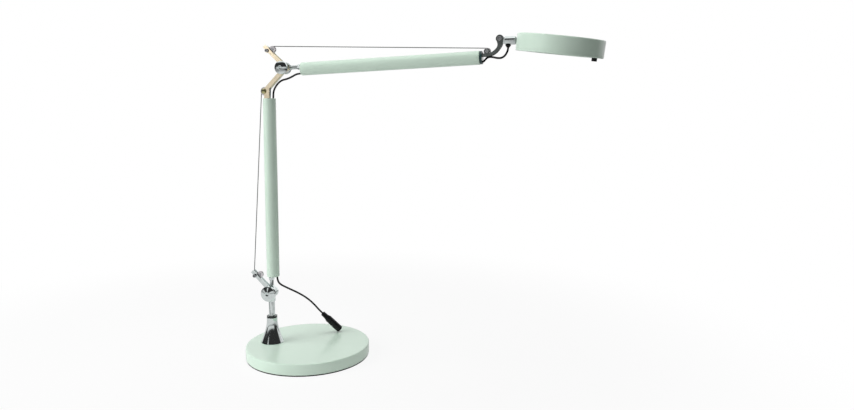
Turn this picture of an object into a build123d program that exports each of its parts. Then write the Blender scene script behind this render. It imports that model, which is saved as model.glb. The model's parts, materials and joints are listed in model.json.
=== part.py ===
from build123d import *
import os
from math import asin, atan2, cos, degrees, radians, sin, sqrt, tan

# A small spring-balanced desk lamp with two tubular arms and a round flat head.
# Units are millimetres, +Z is up, and the origin is the centre of the base's
# underside. +X points along the arms, from the stem towards the head. The two
# arms swing in one upright plane through the stem, and their pivots lie along Y.

# ---------------------------------------------------------------- base
BASE_RADIUS = 100.0
BASE_HEIGHT = 19.0
BASE_SKIN = 2.4
BASE_EDGE_ROUND = 1.6
FOOT_THICK = 2.0
FOOT_RADIUS = 99.4
FLOOR_PLATE_THICK = 1.8
FLOOR_PLATE_RADIUS = 97.2
BALLAST_RADIUS = 92.0
BALLAST_THICK = 12.7
BALLAST_WELL = 17.0
SCREW_CIRCLE = 70.0
STEM_X = -59.4
STEM_Y = -9.2

# ---------------------------------------------------------------- collar and stem
COLLAR_TOP = 60.4
COLLAR_FOOT_RADIUS = 18.4
COLLAR_TOP_RADIUS = 8.8
COLLAR_BORE = 7.0
SPIGOT_RADIUS = 8.6
SPIGOT_BOTTOM = 7.0
NUT_ACROSS = 26.0
BUSH_WALL_GAP = 0.02
BUSH_FLANGE_THICK = 1.5
BUSH_FLANGE_RADIUS = 8.2
STEM_RADIUS = 5.0
SWIVEL_GAP = 0.05
STEM_SHOULDER = 87.0
STEM_TONGUE_TOP = 92.6
STEM_RING_RADIUS = 8.6

# ---------------------------------------------------------------- joints shared by both elbows
PIVOT_LOW = (-0.8, 102.0)
PIVOT_HIGH = (30.0, 467.6)
PLATE_GAP = 2.6
PLATE_THICK = 2.0
PLATE_OUT = PLATE_GAP + PLATE_THICK
HUB_RADIUS = 8.7
PIN_RADIUS = 2.5
RUN_GAP = 0.05
ANCHOR = (-26.5, 27.5)
ANCHOR_BARREL = 2.45
GUIDE = (-18.5, 29.4)
PULLEY_FLANGE = 5.3
PULLEY_GROOVE = 4.2
PULLEY_THICK = 4.2
PULLEY_BORE = 1.55
AXLE_RADIUS = 1.5
CABLE_RADIUS = 0.65
CABLE_ON_PULLEY = PULLEY_GROOVE + CABLE_RADIUS + 0.05
CABLE_ON_ANCHOR = ANCHOR_BARREL + CABLE_RADIUS + 0.05
LOW_KNOB_RADIUS = 12.4
HIGH_KNOB_RADIUS = 10.3
KNOB_RIM = 12.6

# ---------------------------------------------------------------- arms
TUBE_RADIUS = 10.2
TUBE_BORE = 9.0
LOW_TUBE_X = 3.7
LOW_TUBE_BOTTOM = 129.5
LOW_TUBE_TOP = 419.8
LOW_SHANK_X = 0.8
UPPER_ANGLE = 2.465
UPPER_TUBE_START = 30.6
UPPER_TUBE_END = 314.0
UPPER_TUBE_DROP = -3.28
PLUG_LONG = 14.0
LEAD_RADIUS = 1.5
LEAD_OFFSET = 6.8
LEAD_PLAY = 0.5
BEND = (-3.4, 431.2)
BEND_FLANGE = 6.9
BEND_GROOVE = 5.5
CABLE_ON_BEND = BEND_GROOVE + CABLE_RADIUS + 0.05
EYE_THICK = 4.9
EYE_RADIUS = 8.2
SHANK_RADIUS = 3.1
SPRING_RADIUS = 4.3
SPRING_BORE = 2.8
END_PULLEY = (354.7, 486.6)
KNUCKLE = (373.2, 504.6)

# ---------------------------------------------------------------- head
STUB_HEIGHT = 502.0
STUB_START = 380.4
STUB_END = 396.0
STUB_RADIUS = 6.2
SPIGOT_START = 387.0
HEAD_RADIUS = 62.8
HEAD_THICK = 25.2
HEAD_SKIN = 2.0
HEAD_EDGE_ROUND = 2.0
HEAD_PITCH = 6.8
HEAD_ROLL = -3.95
HEAD_FOOT_CENTRE = (458.5, 480.2)
RING_THICK = 3.0
WINDOW_RADIUS = 41.0
BUTTON_REACH = 50.0
BUTTON_RADIUS = 3.9
BUTTON_PROUD = 4.8

# ---------------------------------------------------------------- connector
CONNECTOR_LENGTH = 42.8
CONNECTOR_RADIUS = 5.8
LEAD_INSIDE_CONNECTOR = 6.0
SOCKET_BORE = 2.75
SOCKET_DEPTH = 10.0

os.makedirs("parts", exist_ok=True)


def save(part, name):
    """Label a finished piece and write it under its own name."""
    part.label = name
    export_step(part, f"parts/{name}.step")


# ================================================================ frames
def side(at=(0.0, 0.0), near=0.0, angle=0.0):
    """The arms' upright plane, seen from the front.

    at is measured from the stem's axis and the table, near is how far the plane
    lies towards the viewer, and angle turns its local x up from +X.
    """
    turn = radians(angle)
    return Plane(
        origin=(STEM_X + at[0], STEM_Y - near, at[1]),
        x_dir=(cos(turn), 0, sin(turn)),
        z_dir=(0, -1, 0),
    )


def stem_level(height):
    """A level plane through the stem's axis."""
    return Plane(origin=(STEM_X, STEM_Y, height))


def arm_point(along, up):
    """A point of the upper arm, given from its pivot along and square to the arm."""
    turn = radians(UPPER_ANGLE)
    return (
        PIVOT_HIGH[0] + along * cos(turn) - up * sin(turn),
        PIVOT_HIGH[1] + along * sin(turn) + up * cos(turn),
    )


def across_upper(along, up=0.0):
    """A plane square to the upper arm, facing along it; local x is up in the arm."""
    x, z = arm_point(along, up)
    turn = radians(UPPER_ANGLE)
    return Plane(
        origin=(STEM_X + x, STEM_Y, z),
        x_dir=(-sin(turn), 0, cos(turn)),
        z_dir=(cos(turn), 0, sin(turn)),
    )


def world(x, z, y=0.0):
    """A point given from the stem's axis, in the row frame."""
    return (STEM_X + x, STEM_Y + y, z)


def shift(pivot, offset):
    """A point given as an offset from a pivot."""
    return (pivot[0] + offset[0], pivot[1] + offset[1])


# ================================================================ shared shapes
def pulley(centre, flange, groove):
    """A grooved wheel that runs on a pin, centred between the plates."""
    half = PULLEY_THICK / 2
    with BuildPart() as made:
        with BuildSketch(side(centre)) as face:
            Circle(flange)
            Circle(PULLEY_BORE, mode=Mode.SUBTRACT)
        extrude(amount=half, both=True)
        with BuildSketch(side(centre)):
            Circle(flange + 1)
            Circle(groove, mode=Mode.SUBTRACT)
        extrude(amount=CABLE_RADIUS + 0.15, both=True, mode=Mode.SUBTRACT)
    return made.part


def lever_outline(plane, carries_guide):
    """One lever plate's face: a round hub, a straight arm and a lobed tip."""
    with BuildSketch(plane) as face:
        Circle(HUB_RADIUS)
        with BuildLine():
            Polyline((-4.2, 3.8), (-33.4, 33.0), (-29.2, 36.6), (-12.6, 20.0), (2.0, 7.4), close=True)
        make_face()
        with Locations(ANCHOR):
            Circle(3.5)
        if carries_guide:
            with Locations(GUIDE):
                Circle(3.4)
        offset(amount=2.5)
        offset(amount=-2.5)
    return face.sketch


def bolt(pivot, knob_radius, dome, lean):
    """A pivot bolt: a round knob head on the near side, and a pin right through.

    The head's face rises by dome, and its slope leans inwards by that many degrees.
    """
    with BuildPart() as made:
        with BuildSketch(side(pivot, near=-PLATE_OUT - 6.4)):
            Circle(PIN_RADIUS)
        extrude(amount=PLATE_OUT * 2 + 7.0)
        with BuildSketch(side(pivot, near=PLATE_OUT + 0.02)):
            Circle(knob_radius * 0.72)
        extrude(amount=1.6)
        with BuildSketch(side(pivot, near=PLATE_OUT + 1.6)) as back:
            Circle(knob_radius)
        extrude(amount=KNOB_RIM - PLATE_OUT - 1.6)
        with BuildSketch(side(pivot, near=KNOB_RIM)):
            Circle(knob_radius)
        extrude(amount=dome, taper=lean)
        rims = made.edges().filter_by(GeomType.CIRCLE).group_by(SortBy.RADIUS)[-1]
        fillet(rims, 0.6)
        with BuildSketch(side(pivot, near=KNOB_RIM + dome)):
            RegularPolygon(2.4, 6)
        extrude(amount=-4.5, mode=Mode.SUBTRACT)
    return made.part


def round_nut(pivot, radius, thick):
    """The far-side nut of a pivot, with a socket round the pin's end."""
    with BuildPart() as made:
        with BuildSketch(side(pivot, near=-PLATE_OUT - 0.02)):
            Circle(radius)
            Circle(PIN_RADIUS + 0.02, mode=Mode.SUBTRACT)
        extrude(amount=-thick)
        rim = made.edges().filter_by(GeomType.CIRCLE).group_by(SortBy.RADIUS)[-1]
        chamfer(rim.group_by(Axis.Y)[-1], 1.2)
    return made.part


def anchor_pin(pivot):
    """The cable's anchor: a barrel between the plates, a screw head and a nut end."""
    spot = shift(pivot, ANCHOR)
    with BuildPart() as made:
        with BuildSketch(side(spot, near=-PLATE_OUT - 2.2)):
            Circle(1.25)
        extrude(amount=PLATE_OUT * 2 + 2.4)
        with BuildSketch(side(spot)):
            Circle(ANCHOR_BARREL)
        extrude(amount=PLATE_GAP - 0.05, both=True)
        with BuildSketch(side(spot, near=PLATE_OUT + 0.02)):
            Circle(2.75)
        extrude(amount=2.4)
        with BuildSketch(side(spot, near=PLATE_OUT + 2.42)):
            RegularPolygon(1.5, 6)
        extrude(amount=-1.5, mode=Mode.SUBTRACT)
        with BuildSketch(side(spot, near=-PLATE_OUT - 0.02)):
            Circle(2.5)
        extrude(amount=-1.8)
    return made.part


def guide_pin(pivot):
    """The guide wheel's pin, riveted in the far plate, with a head in front of the wheel."""
    spot = shift(pivot, GUIDE)
    with BuildPart() as made:
        with BuildSketch(side(spot, near=-PLATE_OUT - 0.8)):
            Circle(AXLE_RADIUS)
        extrude(amount=PLATE_OUT + 0.8 + PULLEY_THICK / 2 + 0.1)
        with BuildSketch(side(spot, near=PULLEY_THICK / 2 + 0.08)):
            Circle(2.2)
        extrude(amount=0.36)
        with BuildSketch(side(spot, near=-PLATE_OUT - 0.02)):
            Circle(2.4)
        extrude(amount=-0.9)
    return made.part


def tangent_heading(start, start_side, end, end_side):
    """The heading, in degrees, of the straight run between two wheels.

    start_side and end_side are the cable's radii on the wheels, positive where the
    cable lies on the left of its own travel.
    """
    dx, dz = end[0] - start[0], end[1] - start[1]
    lean = asin((start_side - end_side) / sqrt(dx * dx + dz * dz))
    return degrees(atan2(dz, dx) - lean)


def cable(turns, tail):
    """A cable laid clockwise over wheels, then straight on for its tail.

    Each turn is (centre, radius, starting angle, ending angle) in the side plane.
    """
    with BuildPart() as made:
        with BuildLine(side()) as route:
            previous = None
            for centre, radius, start, end in turns:
                arc = CenterArc(centre, radius, start, end - start)
                if previous is not None:
                    Line(previous @ 1, arc @ 0)
                previous = arc
            Line(previous @ 1, previous @ 1 + (previous % 1) * tail)
        path = route.wires()[0]
        with BuildSketch(Plane(origin=path @ 0, z_dir=path % 0)):
            Circle(CABLE_RADIUS)
        sweep(path=path)
    return made.part


def corner_radii(points):
    """The arc at each inner point: 0.45 of the shorter run over the half turn's tangent."""
    radii = []
    for before, here, after in zip(points, points[1:], points[2:]):
        incoming = Vector(*here) - Vector(*before)
        outgoing = Vector(*after) - Vector(*here)
        half_turn = radians(incoming.get_angle(outgoing)) / 2
        radii.append(0.45 * min(incoming.length, outgoing.length) / tan(half_turn))
    return radii


def lead(name, points):
    """A round lead along a hand-laid route of straight runs and tangent arcs."""
    radii = corner_radii(points)
    with BuildPart() as made:
        with BuildLine() as route:
            FilletPolyline(*points, radius=radii)
        path = route.wires()[0]
        with BuildSketch(Plane(origin=path @ 0, z_dir=path % 0)):
            Circle(LEAD_RADIUS)
        sweep(path=path)
    ideal = 3.14159 * LEAD_RADIUS**2 * path.length
    print(name, "length", round(path.length, 1), "radii", [round(r, 1) for r in radii],
          "volume ratio", round(made.part.volume / ideal, 4))
    return made.part


# ================================================================ base
with BuildPart() as base_cover:
    with BuildSketch(Plane.XY.offset(FOOT_THICK)):
        Circle(BASE_RADIUS)
    extrude(amount=BASE_HEIGHT - FOOT_THICK)
    fillet(base_cover.edges().filter_by(GeomType.CIRCLE).sort_by(Axis.Z)[-1], BASE_EDGE_ROUND)
    with BuildSketch(Plane.XY.offset(FOOT_THICK)):
        Circle(BASE_RADIUS - BASE_SKIN)
    extrude(amount=BASE_HEIGHT - FOOT_THICK - BASE_SKIN, mode=Mode.SUBTRACT)
    with BuildSketch(stem_level(0)):
        Circle(SPIGOT_RADIUS + 0.1)
    extrude(amount=BASE_HEIGHT, mode=Mode.SUBTRACT)
save(base_cover.part, "base_cover")

ballast_bottom = FOOT_THICK + FLOOR_PLATE_THICK
with BuildPart() as base_ballast:
    with BuildSketch(Plane.XY.offset(ballast_bottom)):
        Circle(BALLAST_RADIUS)
        with Locations((STEM_X, STEM_Y)):
            Circle(BALLAST_WELL, mode=Mode.SUBTRACT)
        with PolarLocations(SCREW_CIRCLE, 4, start_angle=45):
            Circle(2.1, mode=Mode.SUBTRACT)
    extrude(amount=BALLAST_THICK)
save(base_ballast.part, "base_ballast")

with BuildPart() as base_plate:
    with BuildSketch(Plane.XY.offset(FOOT_THICK)):
        Circle(FLOOR_PLATE_RADIUS)
        with PolarLocations(SCREW_CIRCLE, 4, start_angle=45):
            Circle(2.1, mode=Mode.SUBTRACT)
    extrude(amount=FLOOR_PLATE_THICK)
save(base_plate.part, "base_plate")

with BuildPart() as foot_pad:
    with BuildSketch(Plane.XY):
        Circle(FOOT_RADIUS)
        with PolarLocations(SCREW_CIRCLE, 4, start_angle=45):
            Circle(4.2, mode=Mode.SUBTRACT)
    extrude(amount=FOOT_THICK)
save(foot_pad.part, "foot_pad")

with BuildPart() as base_screws:
    with BuildSketch(Plane.XY.offset(0.3)):
        with PolarLocations(SCREW_CIRCLE, 4, start_angle=45):
            Circle(3.6)
    extrude(amount=FOOT_THICK - 0.3)
    with BuildSketch(Plane.XY.offset(FOOT_THICK)):
        with PolarLocations(SCREW_CIRCLE, 4, start_angle=45):
            Circle(2.05)
    extrude(amount=FLOOR_PLATE_THICK + 7.0)
save(base_screws.part, "base_screws")

with BuildPart() as trumpet_collar:
    with BuildSketch(Plane(origin=(STEM_X, STEM_Y, 0), x_dir=(1, 0, 0), z_dir=(0, -1, 0))):
        with BuildLine():
            waist = Spline(
                (COLLAR_FOOT_RADIUS, BASE_HEIGHT + 0.6), (12.4, 36.0), (9.5, 47.5),
                (COLLAR_TOP_RADIUS, COLLAR_TOP),
            )
            Polyline(
                waist @ 1, (COLLAR_BORE, COLLAR_TOP), (COLLAR_BORE, SPIGOT_BOTTOM),
                (SPIGOT_RADIUS, SPIGOT_BOTTOM), (SPIGOT_RADIUS, BASE_HEIGHT + 0.02),
                (COLLAR_FOOT_RADIUS, BASE_HEIGHT + 0.02), waist @ 0,
            )
        make_face()
    revolve(axis=Axis((STEM_X, STEM_Y, 0), (0, 0, 1)))
save(trumpet_collar.part, "trumpet_collar")

with BuildPart() as collar_nut:
    with BuildSketch(stem_level(BASE_HEIGHT - BASE_SKIN - 0.05)):
        RegularPolygon(NUT_ACROSS / 2, 6, major_radius=False)
        Circle(SPIGOT_RADIUS + 0.03, mode=Mode.SUBTRACT)
    extrude(amount=-6.0)
save(collar_nut.part, "collar_nut")

with BuildPart() as swivel_bush:
    with BuildSketch(stem_level(SPIGOT_BOTTOM + 2.0)):
        Circle(COLLAR_BORE - BUSH_WALL_GAP)
    extrude(amount=COLLAR_TOP - SPIGOT_BOTTOM - 1.9)
    with BuildSketch(stem_level(COLLAR_TOP + 0.02)):
        Circle(BUSH_FLANGE_RADIUS)
    extrude(amount=BUSH_FLANGE_THICK)
    with BuildSketch(stem_level(0)):
        Circle(STEM_RADIUS + SWIVEL_GAP)
    extrude(amount=COLLAR_TOP + 10, mode=Mode.SUBTRACT)
save(swivel_bush.part, "swivel_bush")

# ================================================================ stem
with BuildPart() as stem_rod:
    with BuildSketch(stem_level(SPIGOT_BOTTOM + 0.2)):
        Circle(STEM_RADIUS)
    extrude(amount=STEM_TONGUE_TOP - SPIGOT_BOTTOM - 0.2)
    with BuildSketch(stem_level(SPIGOT_BOTTOM - 1.6)):
        Circle(STEM_RADIUS + 1.4)
    extrude(amount=2.6)
    with BuildSketch(stem_level(STEM_SHOULDER)):
        Rectangle(4 * STEM_RADIUS, 4 * STEM_RADIUS)
        Rectangle(4 * STEM_RADIUS, 2 * PLATE_GAP - 0.04, mode=Mode.SUBTRACT)
    extrude(amount=20, mode=Mode.SUBTRACT)
    with BuildSketch(side(PIVOT_LOW)):
        Circle(EYE_RADIUS + 0.5)
    extrude(amount=STEM_RADIUS * 2, both=True, mode=Mode.SUBTRACT)
    with BuildSketch(side((0, 90.3))):
        Circle(1.3)
    extrude(amount=STEM_RADIUS * 2, both=True, mode=Mode.SUBTRACT)
save(stem_rod.part, "stem_rod")

ring_bottom = COLLAR_TOP + BUSH_FLANGE_THICK + 0.12
with BuildPart() as stem_ring:
    with BuildSketch(stem_level(ring_bottom)):
        Circle(STEM_RING_RADIUS)
        Circle(STEM_RADIUS + 0.02, mode=Mode.SUBTRACT)
    extrude(amount=1.4)
save(stem_ring.part, "stem_ring")

with BuildPart() as stem_rivet:
    with BuildSketch(side((0, 90.3), near=-PLATE_OUT - 0.6)):
        Circle(1.25)
    extrude(amount=2 * PLATE_OUT + 1.2)
    for face_side in (1, -1):
        with BuildSketch(side((0, 90.3), near=face_side * (PLATE_OUT + 0.02))):
            Circle(2.1)
        extrude(amount=face_side * 0.8)
save(stem_rivet.part, "stem_rivet")


def stem_lever(near_side):
    """A lever plate of the stem, with its foot riveted to the stem's flat."""
    gap_side = PLATE_GAP if near_side else -PLATE_GAP
    grow = PLATE_THICK if near_side else -PLATE_THICK
    outward = (0, -1 if near_side else 1, 0)
    face = lever_outline(side(PIVOT_LOW, near=gap_side), carries_guide=not near_side)
    with BuildPart() as made:
        extrude(face, amount=PLATE_THICK, dir=outward)
        with BuildSketch(side((0, (STEM_SHOULDER + 97) / 2 + 0.02), near=gap_side)):
            Rectangle(9.4, 97 - STEM_SHOULDER)
        extrude(amount=grow)
        with BuildSketch(side((0, 90.3))):
            Circle(1.27)
        extrude(amount=10, both=True, mode=Mode.SUBTRACT)
        with BuildSketch(side(PIVOT_LOW)):
            Circle(PIN_RADIUS + 0.02)
            with Locations(ANCHOR):
                Circle(1.27)
            if not near_side:
                with Locations(GUIDE):
                    Circle(AXLE_RADIUS + 0.02)
        extrude(amount=10, both=True, mode=Mode.SUBTRACT)
    return made.part


save(stem_lever(True), "lower_lever_near")
save(stem_lever(False), "lower_lever_far")
save(anchor_pin(PIVOT_LOW), "lower_anchor_pin")
save(guide_pin(PIVOT_LOW), "lower_guide_pin")
save(bolt(PIVOT_LOW, LOW_KNOB_RADIUS, 2.4, 66), "lower_pivot_bolt")
save(round_nut(PIVOT_LOW, 8.6, 6.6), "lower_pivot_nut")
save(pulley(shift(PIVOT_LOW, GUIDE), PULLEY_FLANGE, PULLEY_GROOVE), "lower_guide_pulley")


# ================================================================ arm fittings
def eye(pivot, direction, shank_from, shank_to, shank_axis):
    """An arm's eye: a round boss that tapers into a threaded shank.

    direction is the arm's heading, and shank_axis is how far the shank's axis lies
    to the left of the line through the pivot.
    """
    face = side(pivot, angle=direction)
    across = Plane(
        origin=face.from_local_coords(Vector(shank_from - 2.0, shank_axis, 0)),
        x_dir=(0, 1, 0),
        z_dir=face.x_dir,
    )
    with BuildPart() as made:
        with BuildSketch(face) as outline:
            Circle(EYE_RADIUS)
            with BuildLine():
                Polyline((2.5, EYE_RADIUS * 0.95), (shank_from, shank_axis + SHANK_RADIUS),
                         (shank_from, shank_axis - SHANK_RADIUS), (2.5, -EYE_RADIUS * 0.95), close=True)
            make_face()
        extrude(amount=EYE_THICK / 2, both=True)
        with BuildSketch(across):
            Circle(SHANK_RADIUS)
        extrude(amount=shank_to - shank_from + 2.0)
        with BuildSketch(face):
            Circle(PIN_RADIUS + RUN_GAP)
        extrude(amount=10, both=True, mode=Mode.SUBTRACT)
    return made.part


def shank_nut(pivot, direction, start, long, shank_axis):
    """The bright lock nut between an eye's shank and its tube."""
    face = side(pivot, angle=direction)
    across = Plane(
        origin=face.from_local_coords(Vector(start, shank_axis, 0)),
        x_dir=(0, 1, 0),
        z_dir=face.x_dir,
    )
    with BuildPart() as made:
        with BuildSketch(across):
            RegularPolygon(3.9, 6, major_radius=False)
            Circle(SHANK_RADIUS + 0.02, mode=Mode.SUBTRACT)
        extrude(amount=long)
    return made.part


def arm_tube(plane, length):
    """A white arm tube with softly rounded ends."""
    with BuildPart() as made:
        with BuildSketch(plane):
            Circle(TUBE_RADIUS)
            Circle(TUBE_BORE, mode=Mode.SUBTRACT)
        extrude(amount=length)
        rims = made.edges().filter_by(GeomType.CIRCLE).group_by(SortBy.RADIUS)[-1]
        fillet(rims, 0.9)
    return made.part


def end_plug(plane, length, shank=None):
    """A tube's end plug, with a notch for the lead and a hole for the eye's shank.

    plane lies at the tube's end and faces into it, with its local x towards the
    lead's side; shank is where the eye's shank goes in, along local x.
    """
    with BuildPart() as made:
        with BuildSketch(plane):
            Circle(TUBE_BORE - 0.02)
            with Locations((LEAD_OFFSET, 0)):
                Circle(LEAD_RADIUS + LEAD_PLAY, mode=Mode.SUBTRACT)
            with Locations((LEAD_OFFSET + 3, 0)):
                Rectangle(6, 2 * (LEAD_RADIUS + LEAD_PLAY), mode=Mode.SUBTRACT)
            if shank is not None:
                with Locations((shank, 0)):
                    Circle(SHANK_RADIUS + 0.02, mode=Mode.SUBTRACT)
        extrude(amount=length)
    return made.part


def spring(plane, length):
    """The close-wound tension spring inside a tube, as a sleeve with closed ends."""
    with BuildPart() as made:
        with BuildSketch(plane):
            Circle(SPRING_RADIUS)
            Circle(SPRING_BORE, mode=Mode.SUBTRACT)
        extrude(amount=length)
        with BuildSketch(plane):
            Circle(SPRING_RADIUS)
        extrude(amount=2.0)
        with BuildSketch(plane.offset(length - 2.0)):
            Circle(SPRING_RADIUS)
        extrude(amount=2.0)
        with BuildSketch(plane):
            Circle(1.2)
        extrude(amount=-6.0)
    return made.part


# ================================================================ lower arm
low_shank = PIVOT_LOW[0] - LOW_SHANK_X
save(eye(PIVOT_LOW, 90.0, 13.0, 40.0, low_shank), "lower_eye")
save(shank_nut(PIVOT_LOW, 90.0, 21.5, 5.6, low_shank), "lower_eye_nut")

low_bottom = Plane(
    origin=world(LOW_TUBE_X, LOW_TUBE_BOTTOM), x_dir=(1, 0, 0), z_dir=(0, 0, 1)
)
save(arm_tube(low_bottom, LOW_TUBE_TOP - LOW_TUBE_BOTTOM), "lower_tube")
save(end_plug(low_bottom.offset(0.3), PLUG_LONG, shank=LOW_SHANK_X - LOW_TUBE_X), "lower_bottom_plug")

spring_line = BEND[0] + CABLE_ON_BEND
low_spring_from = LOW_TUBE_BOTTOM + 0.3 + PLUG_LONG + 6.1
low_spring_long = 150.0
spring_seat = Plane(
    origin=world(spring_line, low_spring_from), x_dir=(1, 0, 0), z_dir=(0, 0, 1)
)
save(spring(spring_seat, low_spring_long), "lower_spring")

low_top = Plane(
    origin=world(LOW_TUBE_X, LOW_TUBE_TOP - 0.3), x_dir=(1, 0, 0), z_dir=(0, 0, -1)
)
plain_top_plug = end_plug(low_top, PLUG_LONG)
with BuildPart() as lower_top_plug:
    add(plain_top_plug)
    with BuildSketch(Plane(origin=world(0.85, LOW_TUBE_TOP + 1), z_dir=(0, 0, -1))):
        Rectangle(8.5, 2 * PLATE_OUT + 0.1)
    extrude(amount=PLUG_LONG + 3, mode=Mode.SUBTRACT)
save(lower_top_plug.part, "lower_top_plug")

foot_inside = LOW_TUBE_TOP - 12.0


def elbow_plate(near_side):
    """A bracket plate: the bent leg up from the tube, the hub and the lever."""
    gap_side = PLATE_GAP if near_side else -PLATE_GAP
    face = lever_outline(side(PIVOT_HIGH, near=gap_side), carries_guide=not near_side)
    grow = PLATE_THICK if near_side else -PLATE_THICK
    outward = (0, -1 if near_side else 1, 0)
    with BuildPart() as made:
        extrude(face, amount=PLATE_THICK, dir=outward)
        with BuildSketch(side(near=gap_side)) as leg:
            with BuildLine():
                Polyline((-3.2, foot_inside), (-3.0, 435.6), (23.0, 461.6), (30.0, 467.6),
                         (33.0, 462.6), (5.2, 434.8), (4.5, foot_inside), close=True)
            make_face()
            fillet(leg.vertices().filter_by_position(Axis.Z, 434, 436), 8.0)
            with Locations(BEND):
                Circle(4.2)
        extrude(amount=grow)
        with BuildSketch(side(PIVOT_HIGH)):
            Circle(PIN_RADIUS + 0.02)
            with Locations(ANCHOR):
                Circle(1.27)
            if not near_side:
                with Locations(GUIDE):
                    Circle(AXLE_RADIUS + 0.02)
        extrude(amount=10, both=True, mode=Mode.SUBTRACT)
        with BuildSketch(side(BEND)):
            Circle(AXLE_RADIUS + 0.02)
        extrude(amount=10, both=True, mode=Mode.SUBTRACT)
    return made.part


save(elbow_plate(True), "elbow_plate_near")
save(elbow_plate(False), "elbow_plate_far")

with BuildPart() as bend_pulley_pin:
    with BuildSketch(side(BEND, near=-PLATE_OUT - 1.0)):
        Circle(AXLE_RADIUS)
    extrude(amount=2 * PLATE_OUT + 1.4)
    with BuildSketch(side(BEND, near=PLATE_OUT + 0.02)):
        Circle(4.2)
    extrude(amount=1.4)
    with BuildSketch(side(BEND, near=PLATE_OUT + 1.42)):
        Circle(4.2)
    extrude(amount=1.9, taper=45)
    with BuildSketch(side(BEND, near=-PLATE_OUT - 0.02)):
        Circle(3.2)
    extrude(amount=-1.2)
save(bend_pulley_pin.part, "bend_pulley_pin")

save(pulley(BEND, BEND_FLANGE, BEND_GROOVE), "bend_pulley")
save(anchor_pin(PIVOT_HIGH), "elbow_anchor_pin")
save(guide_pin(PIVOT_HIGH), "elbow_guide_pin")
save(bolt(PIVOT_HIGH, HIGH_KNOB_RADIUS, 3.2, 52), "elbow_pivot_bolt")
save(round_nut(PIVOT_HIGH, 9.4, 5.0), "elbow_pivot_nut")
save(pulley(shift(PIVOT_HIGH, GUIDE), PULLEY_FLANGE, PULLEY_GROOVE), "elbow_guide_pulley")

# The lower cable: from the stem's lever, up over the bend pulley and down to the spring.
low_anchor = shift(PIVOT_LOW, ANCHOR)
low_heading = tangent_heading(low_anchor, CABLE_ON_ANCHOR, BEND, CABLE_ON_BEND)
low_spring_top = low_spring_from + low_spring_long
lower_cable = cable(
    [
        (low_anchor, CABLE_ON_ANCHOR, low_heading + 90 + 95, low_heading + 90),
        (BEND, CABLE_ON_BEND, low_heading + 90, 0.0),
    ],
    BEND[1] - low_spring_top - 0.1,
)
save(lower_cable, "lower_cable")

# ================================================================ upper arm
save(eye(PIVOT_HIGH, UPPER_ANGLE, 13.0, 40.0, 0.0), "upper_eye")
save(shank_nut(PIVOT_HIGH, UPPER_ANGLE, 24.0, 6.2, 0.0), "upper_eye_nut")

save(arm_tube(across_upper(UPPER_TUBE_START, UPPER_TUBE_DROP), UPPER_TUBE_END - UPPER_TUBE_START),
     "upper_tube")


def facing_lead(along):
    """A plane square to the upper arm, its local x towards the lead's side."""
    base = across_upper(along, UPPER_TUBE_DROP)
    return Plane(origin=base.origin, x_dir=-base.x_dir, z_dir=base.z_dir)


save(end_plug(facing_lead(UPPER_TUBE_START + 0.3), PLUG_LONG, shank=UPPER_TUBE_DROP),
     "upper_inner_plug")

return_line = 5.0 - CABLE_ON_PULLEY
upper_spring_from = UPPER_TUBE_START + 0.3 + PLUG_LONG + 6.1
upper_spring_long = 150.0
save(spring(across_upper(upper_spring_from, return_line), upper_spring_long), "upper_spring")

plain_end_plug = end_plug(facing_lead(UPPER_TUBE_END - 12.0), 12.2)
with BuildPart() as upper_end_plug:
    add(plain_end_plug)
    with BuildSketch(facing_lead(UPPER_TUBE_END + 0.15)):
        Circle(TUBE_RADIUS - 0.4)
        with Locations((LEAD_OFFSET, 0)):
            Circle(LEAD_RADIUS + LEAD_PLAY, mode=Mode.SUBTRACT)
    extrude(amount=3.7)
    with BuildSketch(across_upper(UPPER_TUBE_END - 20, 0.9)):
        Rectangle(6.6, 2 * PLATE_OUT + 0.1)
    extrude(amount=30, mode=Mode.SUBTRACT)
save(upper_end_plug.part, "upper_end_plug")


def head_link(near_side):
    """A curved link plate from the tube's end up to the head's knuckle."""
    gap_side = PLATE_GAP if near_side else -PLATE_GAP
    grow = PLATE_THICK if near_side else -PLATE_THICK
    root_low = arm_point(UPPER_TUBE_END - 9.0, -1.7)
    root_high = arm_point(UPPER_TUBE_END - 9.0, 3.6)
    with BuildPart() as made:
        with BuildSketch(side(near=gap_side)):
            with BuildLine():
                under = Spline(
                    (351.0, 478.9), (361.2, 480.2), (369.4, 485.1), (375.0, 492.0), (378.4, 501.4),
                    tangents=[(1, 0.02), (0.15, 1)],
                )
                over = Spline(
                    (368.2, 502.6), (370.0, 494.8), (366.0, 488.6), (359.6, 484.3), (351.0, 483.6),
                    tangents=[(0.4, -1), (-1, -0.02)],
                )
                Line(under @ 1, over @ 0)
                Polyline(over @ 1, root_high, root_low, under @ 0)
            make_face()
            with Locations(KNUCKLE):
                Circle(5.7)
            with Locations(END_PULLEY):
                Circle(3.8)
        extrude(amount=grow)
        with BuildSketch(side(KNUCKLE)):
            Circle(1.52)
        extrude(amount=10, both=True, mode=Mode.SUBTRACT)
        with BuildSketch(side(END_PULLEY)):
            Circle(AXLE_RADIUS + 0.02)
        extrude(amount=10, both=True, mode=Mode.SUBTRACT)
    return made.part


save(head_link(True), "head_link_near")
save(head_link(False), "head_link_far")
save(pulley(END_PULLEY, PULLEY_FLANGE, PULLEY_GROOVE), "end_pulley")

with BuildPart() as end_pulley_pin:
    with BuildSketch(side(END_PULLEY, near=-PLATE_OUT - 0.9)):
        Circle(AXLE_RADIUS)
    extrude(amount=2 * PLATE_OUT + 1.3)
    for face_side in (1, -1):
        with BuildSketch(side(END_PULLEY, near=face_side * (PLATE_OUT + 0.02))):
            Circle(2.7)
        extrude(amount=face_side * 1.0)
save(end_pulley_pin.part, "end_pulley_pin")

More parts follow.
